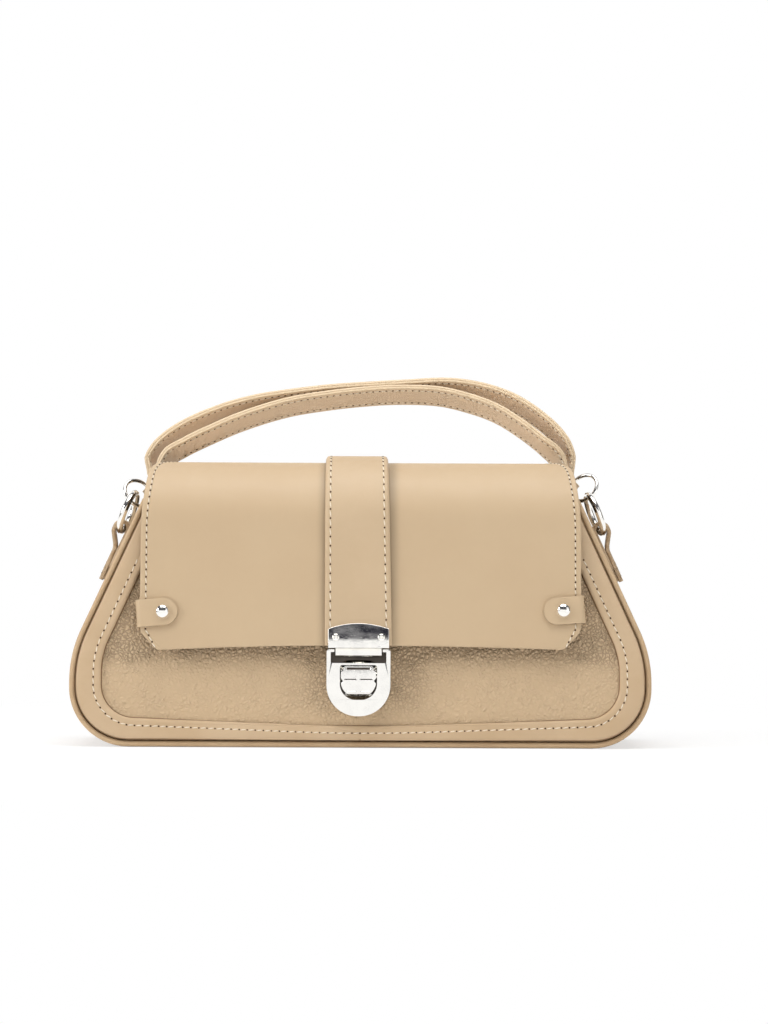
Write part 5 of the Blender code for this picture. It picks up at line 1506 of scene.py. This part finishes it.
# Each fold: how far along the strap, its width and its depth.
HANDLE_FOLDS = (
    (0.031, 0.0016, 0.0006), (0.0365, 0.0013, 0.0005), (0.0425, 0.0015, 0.0004),
    (0.0490, 0.0018, 0.00025),
)


def handle_creases(at, share):
    """Soft folds across the inner strap's lining where the left end bends over the flap."""
    depth = 0
    for middle, width, fold in HANDLE_FOLDS:
        depth += fold * exp(-(((at - middle - 0.0015 * share) / width) ** 2))
    return depth * (1 - 0.5 * share)


def strap_stitching(name, stations, level, facing):
    """Sews both edges; facing is 1 for the strap's outside and -1 for its lining."""
    last = stations[-1][4] - 0.012
    chosen = [station for station in stations if 0.012 < station[4] < last]
    for edge, share in (("front", PLY_SEAM), ("rear", -PLY_SEAM)):
        path, outs = [], []
        for place, way, out, half, _ in chosen:
            path.append(HANDLE @ (place + way * half * share + out * level))
            outs.append(HANDLE.to_3x3() @ (out * facing))
        stitch_line(f"{name}_stitching_{edge}", path, outs, "handle", pitch=0.0034)


outer = strap_stations(strap_path(outer_route, LOOP_LEVEL))
inner = strap_stations(strap_path(inner_route, LOOP_LEVEL - 2 * PLY_STEP - 0.0008))
whole = loop_stations(-1) + outer + loop_stations(1)[::-1]
straps = (("outer", whole, outer, None), ("inner", inner, inner, handle_creases))
for name, leather, lining, creases in straps:
    look = (strap_outside, f"handle_{name}_leather", "smooth_leather")
    ply(f"handle_{name}_strap_leather", leather, 0, *look)
    look = (strap_inside, f"handle_{name}_lining", "suede", creases)
    ply(f"handle_{name}_strap_lining", lining, -PLY_STEP, *look)
strap_stitching("handle_outer_leather", outer, -0.00008, 1)
strap_stitching("handle_outer_lining", outer, -PLY_STEP - PLY + 0.00006, -1)
strap_stitching("handle_inner_lining", inner, -PLY_STEP - PLY + 0.00006, -1)


# The handle's stud.
# A small plated stud through the outer strap near its right end, which shuts its turned end.
STUD_RADIUS = 0.0015
STUD_SHANK = 0.0007
STUD_FOOT = 0.0005
STUD_HEIGHT = 0.45 * RISE
stud_metal = polished_metal("brushed_tan_stud", tone(196, 170, 138), tone(150, 124, 96), 0.28)
right_half = [station for station in outer if station[0].x > 0]
place, way, out, _, _ = min(right_half, key=lambda station: abs(station[0].z - STUD_HEIGHT))
stud_place = Matrix((way, out.cross(way), out)).transposed().to_4x4()
stud_place.translation = place
tail = -PLY_STEP - PLY
profile = domed(STUD_RADIUS, 0.0002, 0.0012, 8) + [(STUD_RADIUS, 0), (STUD_SHANK, 0)]
profile += [(STUD_SHANK, tail), (STUD_RADIUS, tail), (0.0014, tail - STUD_FOOT)]
profile.append((0, tail - STUD_FOOT))
look = (stud_metal, "handle", ["handle_stud"])
turned("handle_stud_domed", profile, HANDLE @ stud_place, *look, segments=32)


# The studio.
# A white paper sweep behind and under the bag, soft light from above and both sides.
white = Finish("white_paper", roughness=0.9, specular_ior_level=0.1)
direct = white.node("ShaderNodeLightPath", output="Is Camera Ray")
glossy = white.node("ShaderNodeLightPath", output="Is Glossy Ray")
white.colour(white.blend(white.noise(4), tone(250, 250, 250), tone(247, 247, 247)))
glow = white.node("ShaderNodeEmission", None, {"Color": tone(255, 255, 255), "Strength": 1.0})
surface = white.shader.outputs[0]
away = white.vectors("LENGTH", white.place(), output="Value")
share = (direct + glossy).maths("MINIMUM", 1) * white.fit(away, 0.19, 0.42, 0.60, 1.0)
mixed = white.node("ShaderNodeMixShader", None, {0: share, 1: Signal(white, surface), 2: glow})
white.tree.links.new(mixed.socket, white.tree.nodes["Material Output"].inputs["Surface"])
profile = [(-3.0, 0.0)]
for step in range(13):
    turn = pi / 2 * step / 12
    profile.append((1.2 + 0.8 * sin(turn), 0.8 - 0.8 * cos(turn)))
profile.append((2.0, 4.0))
verts = [(side, y, z) for side in (-4, 4) for y, z in profile]
count = len(profile)
paper = bpy.data.meshes.new("paper_sweep")
paper.from_pydata(verts, [], [(i, i + 1, count + i + 1, count + i) for i in range(count - 1)])
paper.materials.append(white.material)
paper.shade_smooth()
linked("paper_sweep", paper)

# Each light: its place, size and power.
SOFTBOXES = (
    ("top_softbox", (0, -0.30, 1.5), (1.4, 1.0), 17),
    ("left_softbox", (-1.5, -0.55, 0.75), (0.6, 0.8), 11),
    ("right_softbox", (1.3, -0.9, 0.6), (1.0, 1.2), 3),
)
for name, place, size, power in SOFTBOXES:
    light = bpy.data.lights.new(name, "AREA")
    light.shape = "RECTANGLE"
    light.size, light.size_y = size
    light.energy = power
    softbox = linked(name, light)
    softbox.location = place
    way = Vector((0, 0, 0.08)) - Vector(place)
    softbox.rotation_euler = way.to_track_quat("-Z", "Y").to_euler()

# The air: white to the camera, and a room with dark walls in the chrome.
world = bpy.data.worlds.new("studio_air")
bpy.context.scene.world = world
world.use_nodes = True
air = Nodes(world.node_tree)
way = air.node("ShaderNodeNewGeometry", output="Incoming")
spread = air.vectors("MULTIPLY", way, (4, 1, 1))
patches = air.fit(air.noise(9, 2, 0.5, spread), 0.42, 0.56)
ceiling = air.noise(20, 2, 0.5, spread) * 0.05 + air.axis(way, 2) * -1
flags = air.fit(air.axis(way, 0).maths("ABSOLUTE"), 0.72, 0.86) * 0.9
walls = air.blend(flags, (1, 1, 1, 1), (0.10, 0.09, 0.08, 1))
above = air.blend(patches, (0.24, 0.24, 0.25, 1), (0.02, 0.02, 0.03, 1))
room = air.blend(air.fit(ceiling, 0.318, 0.340), walls, above)
glossy = air.node("ShaderNodeLightPath", output="Is Glossy Ray")
seen = air.blend(glossy, (0.42, 0.42, 0.42, 1), room)
seen = air.blend(air.node("ShaderNodeLightPath", output="Is Camera Ray"), seen, (1, 1, 1, 1))
air.tree.links.new(seen.socket, air.tree.nodes["Background"].inputs["Color"])

# The camera looks level, from the height of the rings and a little right of the middle.
EYE_POINT = (0.0115, -1.838, 0.118)
FOCAL_LENGTH = 126.6
lens = bpy.data.cameras.new("camera")
lens.lens = FOCAL_LENGTH
lens.sensor_width = 36
lens.clip_start = 0.05
camera = linked("camera", lens)
camera.location = EYE_POINT
camera.rotation_euler = (pi / 2, radians(-0.25), 0)
bpy.context.scene.camera = camera
bpy.context.scene.view_settings.view_transform = "Standard"
